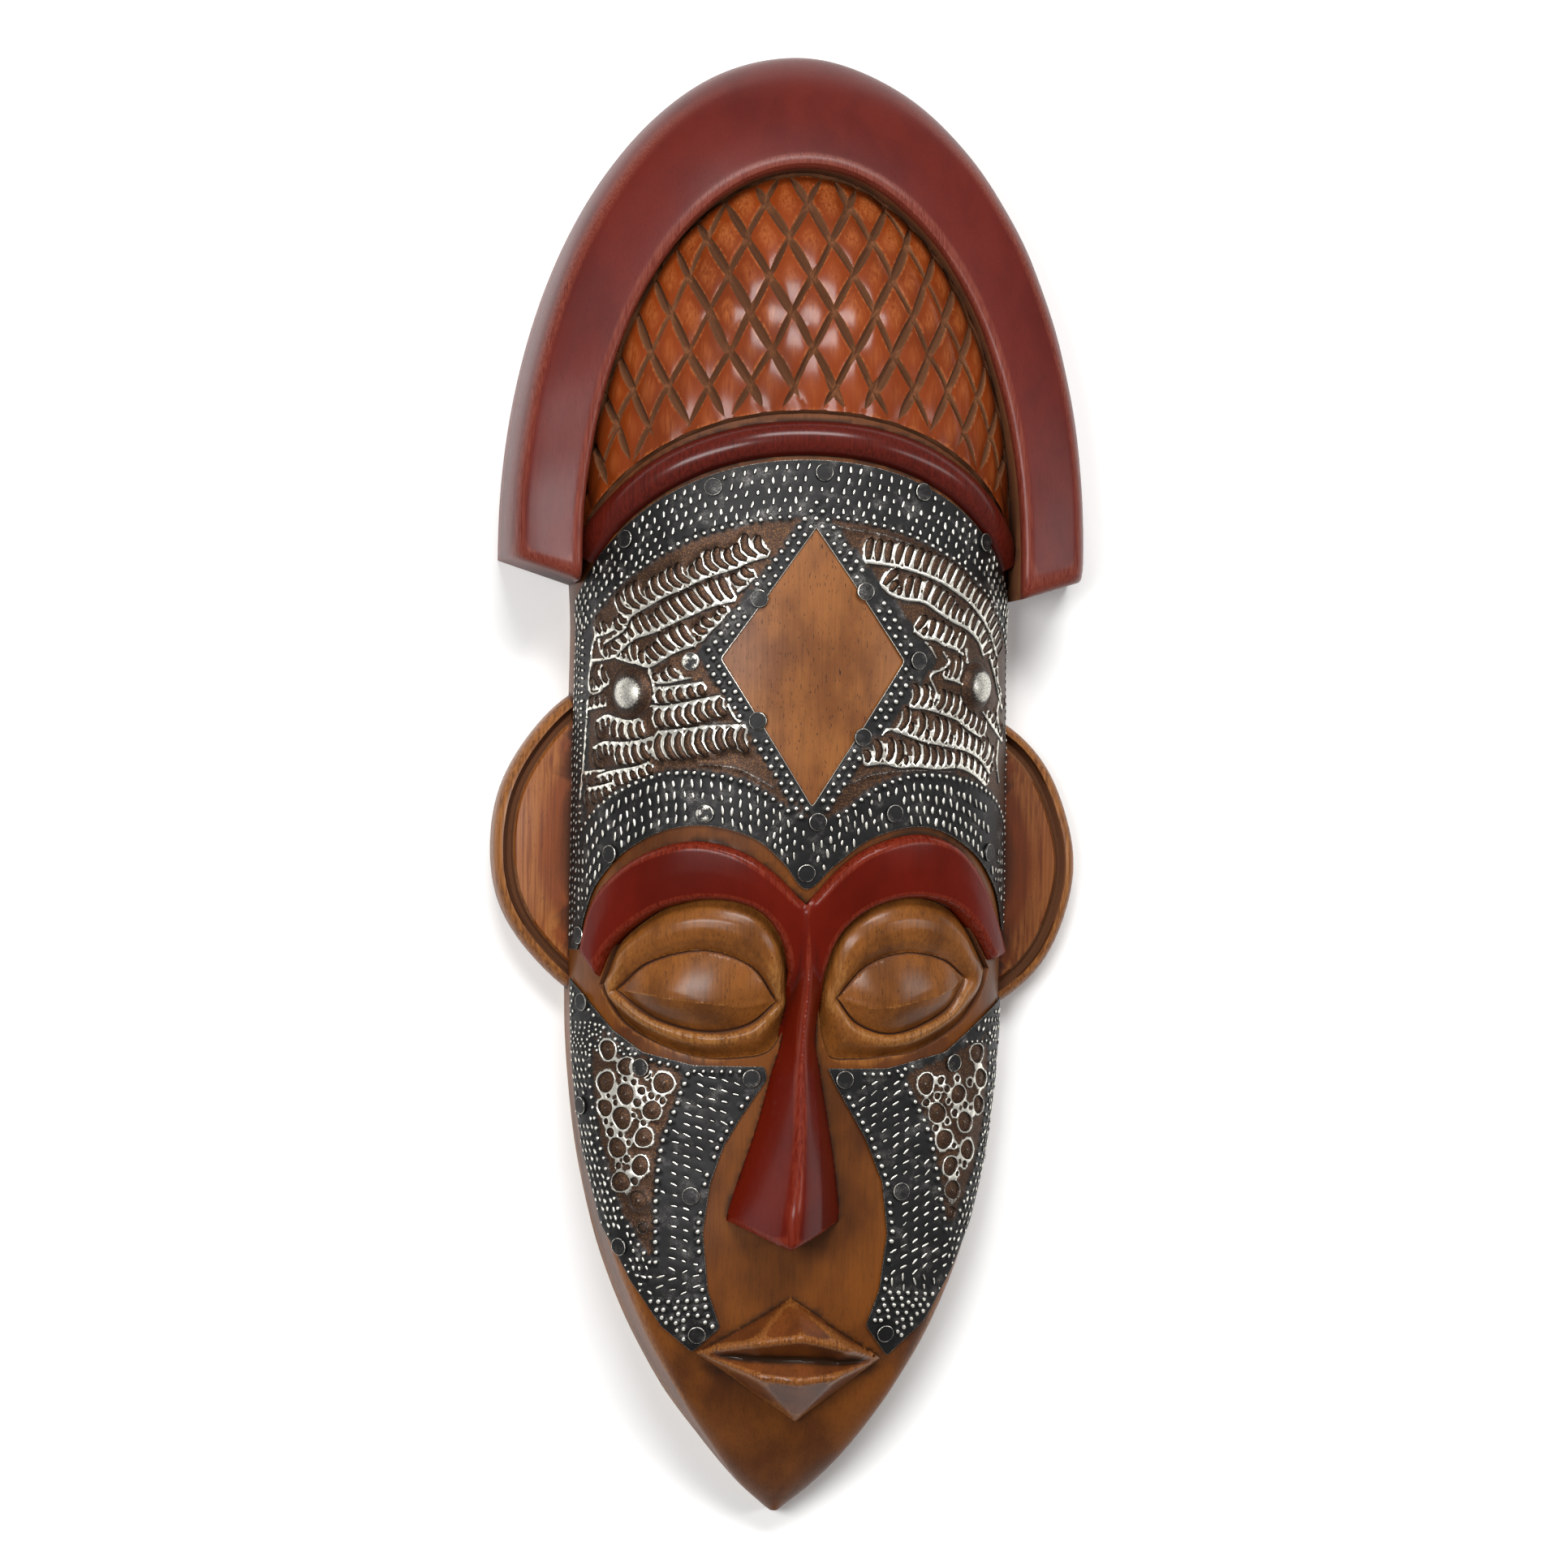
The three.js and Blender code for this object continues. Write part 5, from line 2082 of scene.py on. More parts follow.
            start, tip = middle[0] - way[0] * grow, middle[-1] + way[-1] * (0.45 + grow)
            places = np.concatenate([middle + aside * half, [tip], (middle - aside * half)[::-1]])
            places[[0, -1]] += start - middle[0]
            rings.append((places, load))
        if not self.mark(rings, 0.1):
            return False
        self.layout.scatter(middle[1:4], (0.3, 0.2, 1.0))
        return True

    def boss(self, at: Sequence[float], radius: float = 8.0, rise: float = 3.6) -> None:
        """Raises a round boss with a polished crown and a bright ring round it.

        Args:
            at: Its place seen from the front.
            radius: Its radius.
            rise: Its height.
        """
        centre = HEAD.flat([at])[0]
        round_off = circle(40)
        rings = [(centre + round_off * reach, load) for reach, load in
                 ((8.9, (-0.1, 0, 0.6)), (8.4, (-0.3, 0, 0.8)))]
        for share in (0.97, 0.86, 0.72, 0.56, 0.4, 0.22):
            lift = -0.2 + rise * (1 - share ** 2) ** 0.75
            crown = float(ease(np.array((1.0 - share) / 0.5)))
            rings.append((centre + round_off * radius * share, (lift, 0.56 * crown, 1.0 - crown)))
        if self.mark(rings):
            self.layout.scatter(centre[None], (rise - 0.2, 0.56, 0.0))

    def cut_window(self, corners: Rows) -> None:
        """Cuts an opening with the given corners seen from the front.

        Args:
            corners: The opening's corners.
        """
        seen = looped(corners)
        hole = even_steps(HEAD.flat(even_steps(seen, 1.1)), 1.1, closed=True)
        self.layout.ring(hole, (0.0, 0.7, 0.0))
        lip = inset(hole, -0.4)
        self.layout.ring(lip, (0.05, 0.0, 0.0))
        self.taken = np.concatenate([self.taken, hole, lip])
        self.holes.append(hole)

    def crease(self, line: Array, load: Sequence[float]) -> None:
        """Adds a line of equal load wherever it keeps clear of the marks.

        Args:
            line: Places laid out flat.
            load: Lift, polish and brown stain.
        """
        for place in even_steps(line, 0.9):
            near = np.linalg.norm(self.taken - place, axis=1).min()
            if near > 0.4 and signed_distance(place[None], self.outline)[0] > 0.5:
                self.layout.scatter(place[None], load)
                self.taken = np.concatenate([self.taken, place[None]])

    def plain_load(self, flat: Array) -> Array:
        """Load of the flat ground between the marks: none on a plain sheet."""
        return np.zeros((len(flat), 3))

    def build(self) -> Piece:
        """Fills the ground between the marks and makes the sheet.

        Returns:
            The sheet.
        """
        fill = hex_fill(self.outline, self.pitch, 0.75)
        for guard in self.guards[1:]:
            low, high = guard.min(axis=0) - 0.5, guard.max(axis=0) + 0.5
            near = np.all((fill > low) & (fill < high), axis=1)
            near[near] = signed_distance(fill[near], guard) > -0.5
            fill = fill[~near]
        for hole in self.holes:
            fill = fill[signed_distance(fill, hole) < -0.8]
        tree = KDTree(len(self.taken))
        for number, (s, y) in enumerate(self.taken.tolist()):
            tree.insert((s, y, 0), number)
        tree.balance()
        fill = fill[[tree.find((s, y, 0))[2] > 0.42 for s, y in fill.tolist()]]
        self.layout.scatter(fill, self.plain_load(fill))
        flat, loads, faces = self.layout.triangles()
        for hole in self.holes:
            faces = faces[signed_distance(flat[faces].mean(axis=1), hole) < 0]
        used, faces = np.unique(faces, return_inverse=True)
        flat, loads, faces = flat[used], loads[used], faces.reshape(-1, 3)
        waves = self.waviness * smooth_noise(flat, 17.0, 21)
        lift = self.face + loads[:, 0] + np.maximum(waves, -0.1)
        under = np.maximum(self.gap, lift - self.thickness)
        sheet = shell(self.name, HEAD.wrap(flat, lift), HEAD.wrap(flat, under), faces)
        none = np.zeros(len(flat))
        store(sheet, "polish", np.concatenate([loads[:, 1], none + 0.25]))
        store(sheet, "brown", np.concatenate([loads[:, 2], none]))
        sheet.data.materials.append(METAL)
        only(sheet)
        bpy.ops.object.shade_smooth_by_angle(angle=math.radians(self.crease_angle))
        return sheet


METAL = EmbossedMetal().material()


FOREHEAD_NAILS = (
    (-32.6, 98), (3.4, 103.4), (37.2, 98), (-59.5, 81), (60.5, 82.5), (-17.7, 61.1), (17.3, 64.2),
    (-39, 40.2), (36, 41.8), (-17.5, 20.8), (17.3, 16), (-33.6, -10.1), (28.8, -9.1), (2.9, -12.2),
    (-62.4, -24.3), (64.5, -22), (-0.3, -29.2), (-70.9, -52),
)
LEFT_NAILS = ((-69.6, -74.5), (-51.4, -95.6), (-15.5, -98.4), (-69, -109.6), (-34.4, -138.3), (-56.5, -156.3),
              (-31.2, -185))
RIGHT_NAILS = ((15.7, -98.6), (53.9, -93.3), (36.1, -136.4), (32, -184.4))


@dataclass(init=False)
class ForeheadSheet(EmbossedSheet):
    """The sheet over the forehead, with its window and two bosses."""

    window: Points = ((0.8, 85), (-29.7, 41.2), (0.9, -7.4), (31.2, 41.4))
    border: Points = ((2, 92.4), (-37.6, 42.6), (1.9, -13), (42.9, 42))
    bosses: Points = ((-57.4, 29.6), (58.5, 33.8))
    foot: Points = (
        (-71.6, -57), (-69.5, -44), (-66.3, -34.2), (-58.5, -23.6), (-46.5, -16), (-32.2, -14.1),
        (-17.6, -18.2), (-8, -26), (0, -34.6), (9.7, -26.1), (22.8, -16.8), (40.9, -13.6), (57.8, -21.4),
        (68, -34), (73, -48.8),
    )
    brow_beads: Points = (
        (-72.5, -24), (-69.7, -14.4), (-62.7, -5.2), (-49.2, 2.1), (-35.5, 3.1), (-18.9, -0.7), (-5.3, -9.9),
        (2, -13), (10.2, -9.9), (25.4, 0.5), (43.1, 3.8), (62.5, -0.9), (71, -10), (74, -20),
    )
    strip: float = -69.0
    # Each row of teeth as seen from the front: its line, their length, lean and bow.
    rows: tuple[tuple, ...] = (
        (((-65.2, 46.5), (-62.2, 48.7), (-59.8, 50.6), (-58.5, 52.9), (-57.2, 55.7), (-52.3, 58.9),
            (-46.7, 62.3), (-41.4, 64.7), (-36.8, 67.2), (-29.9, 69.9), (-25.1, 71.4), (-21.9, 73.2),
            (-18.5, 74.4)), 7.6, -0.6, -2),
        (((-61.7, 41.7), (-60.8, 43.4), (-56.4, 47.9), (-50.8, 50), (-44.2, 53.4), (-37, 56.8),
            (-31.6, 59.1), (-26.2, 60.5)), 6.6, -1.8, -0.5),
        (((-56.2, 39.9), (-52, 38.6), (-47.2, 41.4), (-44, 43.5), (-38.3, 45.7)), 6.2, -1.9, -0.8),
        (((-51.1, 25.1), (-46.8, 24.9), (-40.9, 26.1), (-37.6, 26.9), (-29.6, 28.7)), -6.6, 1, -1.8),
        (((-48.1, 16.6), (-42.8, 17.2), (-38.2, 17.8), (-33.8, 18.6), (-22.1, 19.1)), -7.6, 1.2, -1.7),
        (((-67.6, 11.1), (-65, 12.8), (-59.3, 12.7), (-53.7, 13.5), (-50.9, 14.6)), -6.4, 1.4, -1.4),
        (((-66.8, 20.2), (-64.2, 21.9), (-61.8, 21), (-58.3, 20.1), (-54.5, 20.7)), -5, 0.8, -1),
        (((-49.2, 33.2), (-45.6, 33.4), (-42.8, 34.2), (-39.2, 35)), 4.4, -1.6, -1.2),
        (((-48.2, 31.2), (-45.6, 31.4), (-42.1, 32), (-35.5, 33)), -4.2, 0.8, -1.2),
        (((-66.5, 1.5), (-62.5, 3.1), (-55, 4.7), (-51.5, 6.3)), -3.6, 0.8, -0.8),
        (((-52, 38.2), (-51.3, 35.4), (-50.5, 31.6), (-50.6, 28.6), (-51, 26.3)), 0, 0, 0),
        (((-23.4, 20.6), (-25.2, 22), (-27.3, 25.9)), 0, 0, 0),
        (((-68.2, 51.9), (-67.8, 48.8), (-68.6, 44.7), (-68.7, 40.1), (-69.2, 35.5), (-69.2, 30.5),
            (-67.3, 29.7), (-65.1, 32.2), (-66.4, 35.8), (-65.9, 38.9)), 0, 0, 0),
        (((-66.8, 47.6), (-66.3, 43.8), (-64.8, 41.5)), 0, 0, 0),
        (((-69.6, 27), (-69.8, 20), (-70.2, 12), (-70.8, 2), (-71.2, -6)), 0, 0, 0),
        (((18.1, 74.1), (26.6, 73.3), (31.2, 72.4), (36.3, 71.1), (43.1, 68.8), (48.4, 66.1), (54.9, 62.1),
            (60.4, 56.5), (63.4, 51.8), (66.4, 45)), 6.2, 0.6, -0.3),
        (((23.2, 66), (26.3, 63.5), (31.3, 62.2), (37.6, 61.5), (43.2, 58.3), (48.2, 55.6), (53.7, 53.3),
            (58.2, 49.5), (60.2, 45.2)), 6, 0.4, -0.3),
        (((34.6, 51.7), (37.7, 49.6), (42.1, 49.2), (45, 47.5), (49.2, 46.5), (52.6, 44.5)), 5.2, 0.5, 0.2),
        (((34.2, 26.4), (39.8, 26), (45.6, 24.4), (50.5, 22.8), (55, 19.7), (59.7, 17.4)), 6, 0.2, 1.2),
        (((23.9, 17), (26.2, 18.9), (30.7, 17.8), (37, 15.7), (42.4, 14.6), (48.2, 13.7), (54.7, 12.4),
            (60, 9.6), (64, 5)), 6.8, -0.6, 1.2),
        (((19, 7), (24.7, 7.7), (30.2, 6.5), (35.8, 6.9), (43.4, 6.3), (51.2, 6.8), (57, 4.9),
            (62.4, 1)), 6.6, -0.6, 1.1),
        (((-20.8, 73.9), (-18.1, 74.6), (-15, 75.4)), 5.5, -0.6, -1.5),
        (((-24.7, 63.4), (-21.6, 65.7), (-19, 68.5)), 4.5, -0.6, -1.2),
        (((-35.5, 47.3), (-32.8, 50.7), (-29.9, 53.6), (-27.6, 56.7)), 4, -0.6, -1),
        (((-61.3, 41.4), (-56.5, 39.7), (-52.4, 38.5)), 6, -2, -1.4),
        (((-68.1, 40.6), (-64.9, 41.1), (-61.9, 42)), 6.5, -0.4, -1.3),
        (((-68.1, 30.9), (-65.8, 31.5), (-64, 32.7)), 6.5, -0.4, -1.3),
        (((-67.7, 49), (-65, 49.6), (-62.6, 51.1)), 5.5, -0.4, -1.3),
        (((-69.5, 24.3), (-67.4, 24.9), (-64.7, 25.5)), 4.5, -0.4, -1.1),
        (((-70.2, 2.7), (-66, 3.3), (-60.5, 4.1), (-55.9, 4.7)), -4.5, 0.6, -1),
        (((-69.1, -2.7), (-65.9, -2), (-62.1, -0.6)), -4, 0.6, -1),
        (((45.7, 36.5), (49.2, 35.8), (52.4, 34.7)), 6.5, 0.2, 1),
        (((63.5, 44), (65.6, 38.5), (67.5, 32.5), (69.7, 27)), 3.6, 0, 0.6),
        (((61.1, 25.5), (65.3, 20.7), (70, 16)), 3.8, 0.5, 0.8),
        (((38.6, 48), (40.2, 46.4), (42.4, 43.2)), 0, 0, 0),
        (((45.2, 44.8), (47.2, 41.7), (44.9, 39.4), (42.2, 38.4), (40.4, 36.3), (42.8, 31.2),
            (41.8, 28.4)), 0, 0, 0),
        (((53.7, 46.5), (54.2, 42)), 0, 0, 0),
        (((67, 42), (67.4, 36), (69, 32), (67.4, 26), (68.6, 19)), 0, 0, 0),
        (((68, 15.6), (67.4, 9), (68.8, 2)), 0, 0, 0),
    )

    def __init__(self) -> None:
        """Lays out the outline from the arch at the top, the sides and the brow's line."""
        turns = np.linspace(-math.pi / 2, math.pi / 2, 160)[1:-1]
        x = 74.9 * np.sin(turns)
        top = HEAD.flat(pairs(x, SHEET_TOP.height(x)))
        top = top[np.abs(top[:, 0]) < HEAD.side_arc(top[:, 1], self.lowest)]
        foot = HEAD.curve(self.foot)
        right = self.side(top[-1, 1], foot[-1, 1], 1)
        left = self.side(foot[0, 1], top[0, 1], -1)
        super().__init__("forehead_plate", np.concatenate([top, right, foot[::-1], left]), FOREHEAD_NAILS, 3)
        self.cut_window(self.window)

    def side(self, start: float, end: float, sign: int) -> Array:
        """One side edge between two heights."""
        y = np.linspace(start, end, 90)
        return pairs(sign * HEAD.side_arc(y, self.lowest), y)

    def arch_line(self, share: float) -> Array:
        """A line between the sheet's top at nought and its upper row of beads at one.

        Args:
            share: Where the line runs between the two.

        Returns:
            Places laid out flat.
        """
        x = 74.4 * np.sin(np.linspace(-math.pi / 2, math.pi / 2, 140)[1:-1])
        y = SHEET_TOP.height(x) * (1 - share) + BEAD_LINE.height(x) * share
        return HEAD.flat(pairs(x, y))

    def plain_load(self, flat: Array) -> Array:
        """Brown ground in the fields of teeth, charcoal elsewhere.

        Args:
            flat: Rows of arc length and height.

        Returns:
            Lift, polish and stain at each place.
        """
        border = HEAD.flat(even_steps(looped(self.border), 2.0))[:-1]
        beads = HEAD.curve(self.brow_beads, 2.0)
        low = np.interp(flat[:, 0], beads[:, 0], beads[:, 1])
        x = HEAD.wrap(flat)[:, 0]
        inside = (flat[:, 1] > low + 1.4) & (flat[:, 1] < BEAD_LINE.height(x) - 1.2)
        strip = HEAD.flat([(self.strip, 20)])[0, 0]
        inside &= (signed_distance(flat, border) < -0.4) & (flat[:, 0] > strip)
        loads = np.zeros((len(flat), 3))
        loads[:, 2] = inside
        loads[:, 0] = -0.12 * inside
        return loads

    def emboss(self) -> None:
        """Punches everything, the larger marks first."""
        for at in self.bosses:
            self.boss(at)
        border = looped(self.window)
        centre = border[:-1].mean(axis=0)
        for grow, radius in ((1.07, 0.95), (1.185, 1.0)):
            corners = centre + (border - centre) * grow
            for a, b in zip(corners, corners[1:]):
                self.bead_row(HEAD.flat(even_steps(np.array([a, b]), 1.0)), 3.3, radius)
        self.bead_row(self.arch_line(1.0), 3.2, 0.9)
        self.bead_row(HEAD.curve(self.brow_beads), 3.1, 0.9)
        for points, teeth, _, _ in self.rows:
            line = HEAD.curve(points)
            self.crease(line - (0, math.copysign(0.2, teeth)), (0.5, 1.0, 0.0))
            self.crease(line - (0, math.copysign(0.85, teeth)), (-0.15, 0.0, 0.2))
        for points, teeth, lean, bow in self.rows:
            if teeth:
                self.fingers(HEAD.curve(points), teeth, lean, bow)
        self.crown_strokes()
        self.brow_strokes()
        self.side_strips()
        self.field_wrinkles()

    def crown_strokes(self) -> None:
        """The rows of strokes along the top band."""
        upper, lower = self.arch_line(0.0), self.arch_line(1.0)
        self.dash_rows(upper, lower, (0.13, 0.33, 0.52, 0.71, 0.88), 3.55, 1.42, Dash())

    def brow_strokes(self) -> None:
        """The rows of strokes between the brow's beads and the sheet's foot."""
        upper = even_steps(HEAD.curve(self.brow_beads[1:-2], 0.5), 1.0)
        lower = even_steps(HEAD.curve(self.foot[1:-1], 0.5), 1.0)
        count = min(len(upper), len(lower))
        at = np.linspace(0, 1, count)
        upper = np.stack([np.interp(at, np.linspace(0, 1, len(upper)), c) for c in upper.T], axis=1)
        lower = np.stack([np.interp(at, np.linspace(0, 1, len(lower)), c) for c in lower.T], axis=1)
        self.dash_rows(upper, lower, (0.2, 0.42, 0.64, 0.85), 3.2, 1.62, Dash(2.8, 0.72))

    def side_strips(self) -> None:
        """Dots and a ladder down the left side, small strokes and dots down the right."""
        for number, inward in enumerate((1.5, 3.9, 6.2)):
            line = self.side(54, -52, -1) + (inward, 0)
            for place in even_steps(line, 2.7)[number % 2:]:
                self.dash(place + (0, 0.6 * (number % 2)), 1.25, Dash(1.35, 0.7, 0.4, 0.85))
        ladder = self.side(50, -16, -1) + (8.9, 0)
        for place in even_steps(ladder, 2.5):
            self.dash(place, 0.0, Dash(2.1, 0.75, 0.45, 0.9))
        for number, inward in enumerate((1.3, 3.4)):
            for place in even_steps(self.side(46, -46, 1) - (inward, 0), 2.5)[number % 2:]:
                self.bead(place, 0.62, 0.45)
        for side, low, high in ((-1, -55, -18), (1, -47, -16)):
            for number, inward in enumerate((8.9, 11.3, 13.7, 16.1)):
                line = self.side(high - number * 3, low, side) - (side * inward, 0)
                for place in even_steps(line, 3.1)[number % 2:]:
                    self.dash(place, 1.57 - side * 0.35, Dash(1.7, 0.7, 0.42, 0.9))

    def field_wrinkles(self) -> None:
        """Small creases left between the teeth and the plain margins of the fields."""
        for seen in (((8.2, 85.6), (14.2, 84.4), (23, 83.4), (31.5, 80.9), (35.4, 79.9)),
                     ((-60, 10), (-61.5, 4), (-63, 0)), ((-36, 6), (-24, 5), (-12, -1)),
                     ((12, 0), (22, 3.8), (36, 5.3), (50, 5))):
            self.crease(HEAD.curve(seen), (0.28, 0.45, 0.4))


@dataclass(frozen=True)
class CheekPlan:
    """Everything that sets one cheek sheet apart, as seen from the front."""

    name: str
    side: Side
    outline: Points
    nails: Points
    field_inner: Points
    field_outer: Points
    circles: tuple[tuple[float, float, float], ...]
    row_slope: float
    stroke_angle: float
    seed: int


@dataclass(init=False)
class CheekSheet(EmbossedSheet):
    """A cheek sheet: a field of pressed rings between two strips of strokes."""

    large: float = 2.0

    def __init__(self, plan: CheekPlan) -> None:
        """Lays out the sheet's outline, held off the side's lower edge.

        Args:
            plan: What sets this cheek apart.
        """
        self.plan = plan
        flat = HEAD.flat(even_steps(looped(plan.outline), 1.0, closed=True))
        limit = HEAD.side_arc(flat[:, 1], self.lowest)
        flat[:, 0] = np.clip(flat[:, 0], -limit, limit)
        super().__init__(plan.name, flat, plan.nails, plan.seed)
        self.inner = HEAD.curve(plan.field_inner)
        self.outer = HEAD.curve(plan.field_outer)
        self.field = np.concatenate([self.inner, self.outer[::-1]])

    def plain_load(self, flat: Array) -> Array:
        """A bright web in the field's middle, brown round it and charcoal beyond.

        Args:
            flat: Rows of arc length and height.

        Returns:
            Lift, polish and stain at each place.
        """
        deep = signed_distance(flat, self.field)
        rings = np.array([ring for ring in self.plan.circles if ring[2] > self.large])
        apart = np.linalg.norm(flat[:, None] - HEAD.flat(rings[:, :2])[None], axis=2) - rings[:, 2]
        first, second = np.sort(apart, axis=1)[:, :2].T
        web = ((deep > 0.4) & ((first < 0.4) | (first + second < 2.6))) * self.brightness(flat[:, 1])
        loads = np.zeros((len(flat), 3))
        loads[:, 2] = (deep > 0.3) * (1 - web)
        loads[:, 1] = 0.8 * web
        loads[:, 0] = 0.45 * web - 0.1 * (deep > 0.3)
        return loads

    def brightness(self, y: Array | float) -> Array:
        """How bright the web is rubbed at a height: the field's foot stays brown."""
        return 0.5 + 0.5 * ease((np.asarray(y) + 142) / 12)

    def emboss(self) -> None:
        """Punches everything, the larger marks first."""
        for x, y, radius in sorted(self.plan.circles, key=lambda ring: -ring[2]):
            self.ring_mark(HEAD.flat([(x, y)])[0], radius)
        sign = self.plan.side.value
        self.bead_row(self.inner - (sign * 1.0, 0), 3.4, 0.98)
        self.bead_row(self.outer + (sign * 1.0, 0), 3.5, 0.85)
        self.bead_row(self.edge_line(-sign, 1.75), 3.25, 1.0)
        self.bead_row(self.top_line(1.7), 3.0, 0.8, 0.5)
        self.bead_row(self.edge_line(sign, 1.15), 2.5, 0.6, 0.45)
        self.strokes()

    def edge_line(self, sign: int, inward: float) -> Array:
        """The sheet's edge towards one side, moved inwards.

        Args:
            sign: -1 for the left edge, 1 for the right.
            inward: How far in.

        Returns:
            Places laid out flat, from the top down.
        """
        moved = inset(self.outline, inward)
        medians = [np.median(self.inner[:, 0]), np.median(self.field[:, 0])]
        middle = np.interp(moved[:, 1], [-190, -95], medians)
        low = self.outline[:, 1].min() + 4
        high = self.outline[:, 1].max() - 14 if sign == self.plan.side.value else -99
        part = moved[((moved[:, 0] - middle) * sign > 0) & (moved[:, 1] > low) & (moved[:, 1] < high)]
        return part[np.argsort(-part[:, 1])]

    def top_line(self, inward: float) -> Array:
        """The sheet's upper edge under the eye, moved inwards.

        Args:
            inward: How far in.

        Returns:
            Places laid out flat, from left to right.
        """
        moved = inset(self.outline, inward)
        corners = HEAD.flat([self.plan.outline[0]])[0, 0]
        part = moved[(moved[:, 1] > -98) & (np.abs(moved[:, 0]) < abs(corners) + 30)]
        keep = part[np.argsort(part[:, 0])]
        upper = keep[:, 1] > np.interp(keep[:, 0], keep[::6, 0], keep[::6, 1] - 6)
        return keep[upper]

    def ring_mark(self, centre: Array, radius: float) -> None:
        """Presses a ring: a bright rim, a dark wall, a brown floor and a dot in a large one's middle.

        Args:
            centre: Its middle, laid out flat.
            radius: The rim's radius.
        """
        large = radius > self.large
        turns = np.linspace(0, 2 * math.pi, 18 if large else 10, endpoint=False)
        phases = self.draw.uniform(0, 6, 2)
        uneven = 1 + 0.06 * np.sin(2 * turns + phases[0]) + 0.04 * np.sin(3 * turns + phases[1])
        round_off = pairs(np.cos(turns) * uneven * 0.93, np.sin(turns) * uneven)
        bright = float(self.brightness(centre[1])) * self.draw.uniform(0.65, 1.0)
        steps = [(0.2 if large else 0.15, (0.42, 0.86 * bright, 1 - bright)),
                 (0.03, (0.36, 0.7 * bright, 1 - bright)), (-0.24, (-0.3, 0.0, 0.4))]
        if large:
            steps += [(-0.6, (-0.3, 0.0, 1.0)), (1.6 - radius, (-0.05, 0.12, 1.0)),
                      (0.5 - radius, (0.1, 0.35, 0.9))]
        rings = [(self.keep_off_nails(centre + round_off * (radius + grow), 0.35 - grow), load)
                 for grow, load in steps]
        for shrink in (1.0, 0.94, 0.88, 0.8, 0.7):
            smaller = [(centre + (places - centre) * shrink, load) for places, load in rings]
            if self.mark(smaller, 0.1):
                self.layout.scatter(centre[None], (0.15, 0.5, 0.7) if large else (-0.05, 0.1, 1.0))
                return

    def keep_off_nails(self, places: Array, gap: float) -> Array:
        """Moves places out to a gap beside every nail.

        Args:
            places: Places laid out flat.
            gap: The gap.

        Returns:
            The moved places.
        """
        for nail in self.nails:
            away = places - nail
            reach = np.linalg.norm(away, axis=1, keepdims=True)
            places = nail + away * np.maximum(1, (self.nail_clear + gap) / np.maximum(reach, TINY))
        return places

    def strokes(self) -> None:
        """Rows of strokes in the inner strip, finer ones in the outer."""
        low, high = self.outline.min(axis=0), self.outline.max(axis=0)
        plan, sign = self.plan, self.plan.side.value
        for pitch, gap, slope, angle, kind, inner in (
                (4.0, 3.55, plan.row_slope, plan.stroke_angle, Dash(2.6, 0.54, 0.5, 0.92), True),
                (2.3, 2.75, 0.0, 1.57 + sign * -0.45, Dash(1.75, 0.65, 0.42, 0.95), False)):
            for row, y in enumerate(np.arange(low[1], high[1] + 60, gap)):
                shift = (row % 2) * pitch * 0.5 * (not inner)
                for s in np.arange(low[0] - pitch, high[0] + pitch, pitch) + shift:
                    place = np.array([s, y - (s - low[0]) * slope])
                    if self.is_inner(place) == inner and signed_distance(place[None], self.field)[0] < -2.1:
                        lean = angle if place[1] > -164 else (angle + 0.7 if sign < 0 else 1.75)
                        self.dash(place, lean, kind)

    def is_inner(self, place: Array) -> bool:
        """Whether a place lies between the field and the nose.

        Args:
            place: A place laid out flat.

        Returns:
            True on the nose's side.
        """
        line = self.inner[np.argsort(self.inner[:, 1])]
        middle = np.interp(place[1], line[:, 1], line[:, 0])
        return bool((place[0] - middle) * self.plan.side.value < 0)


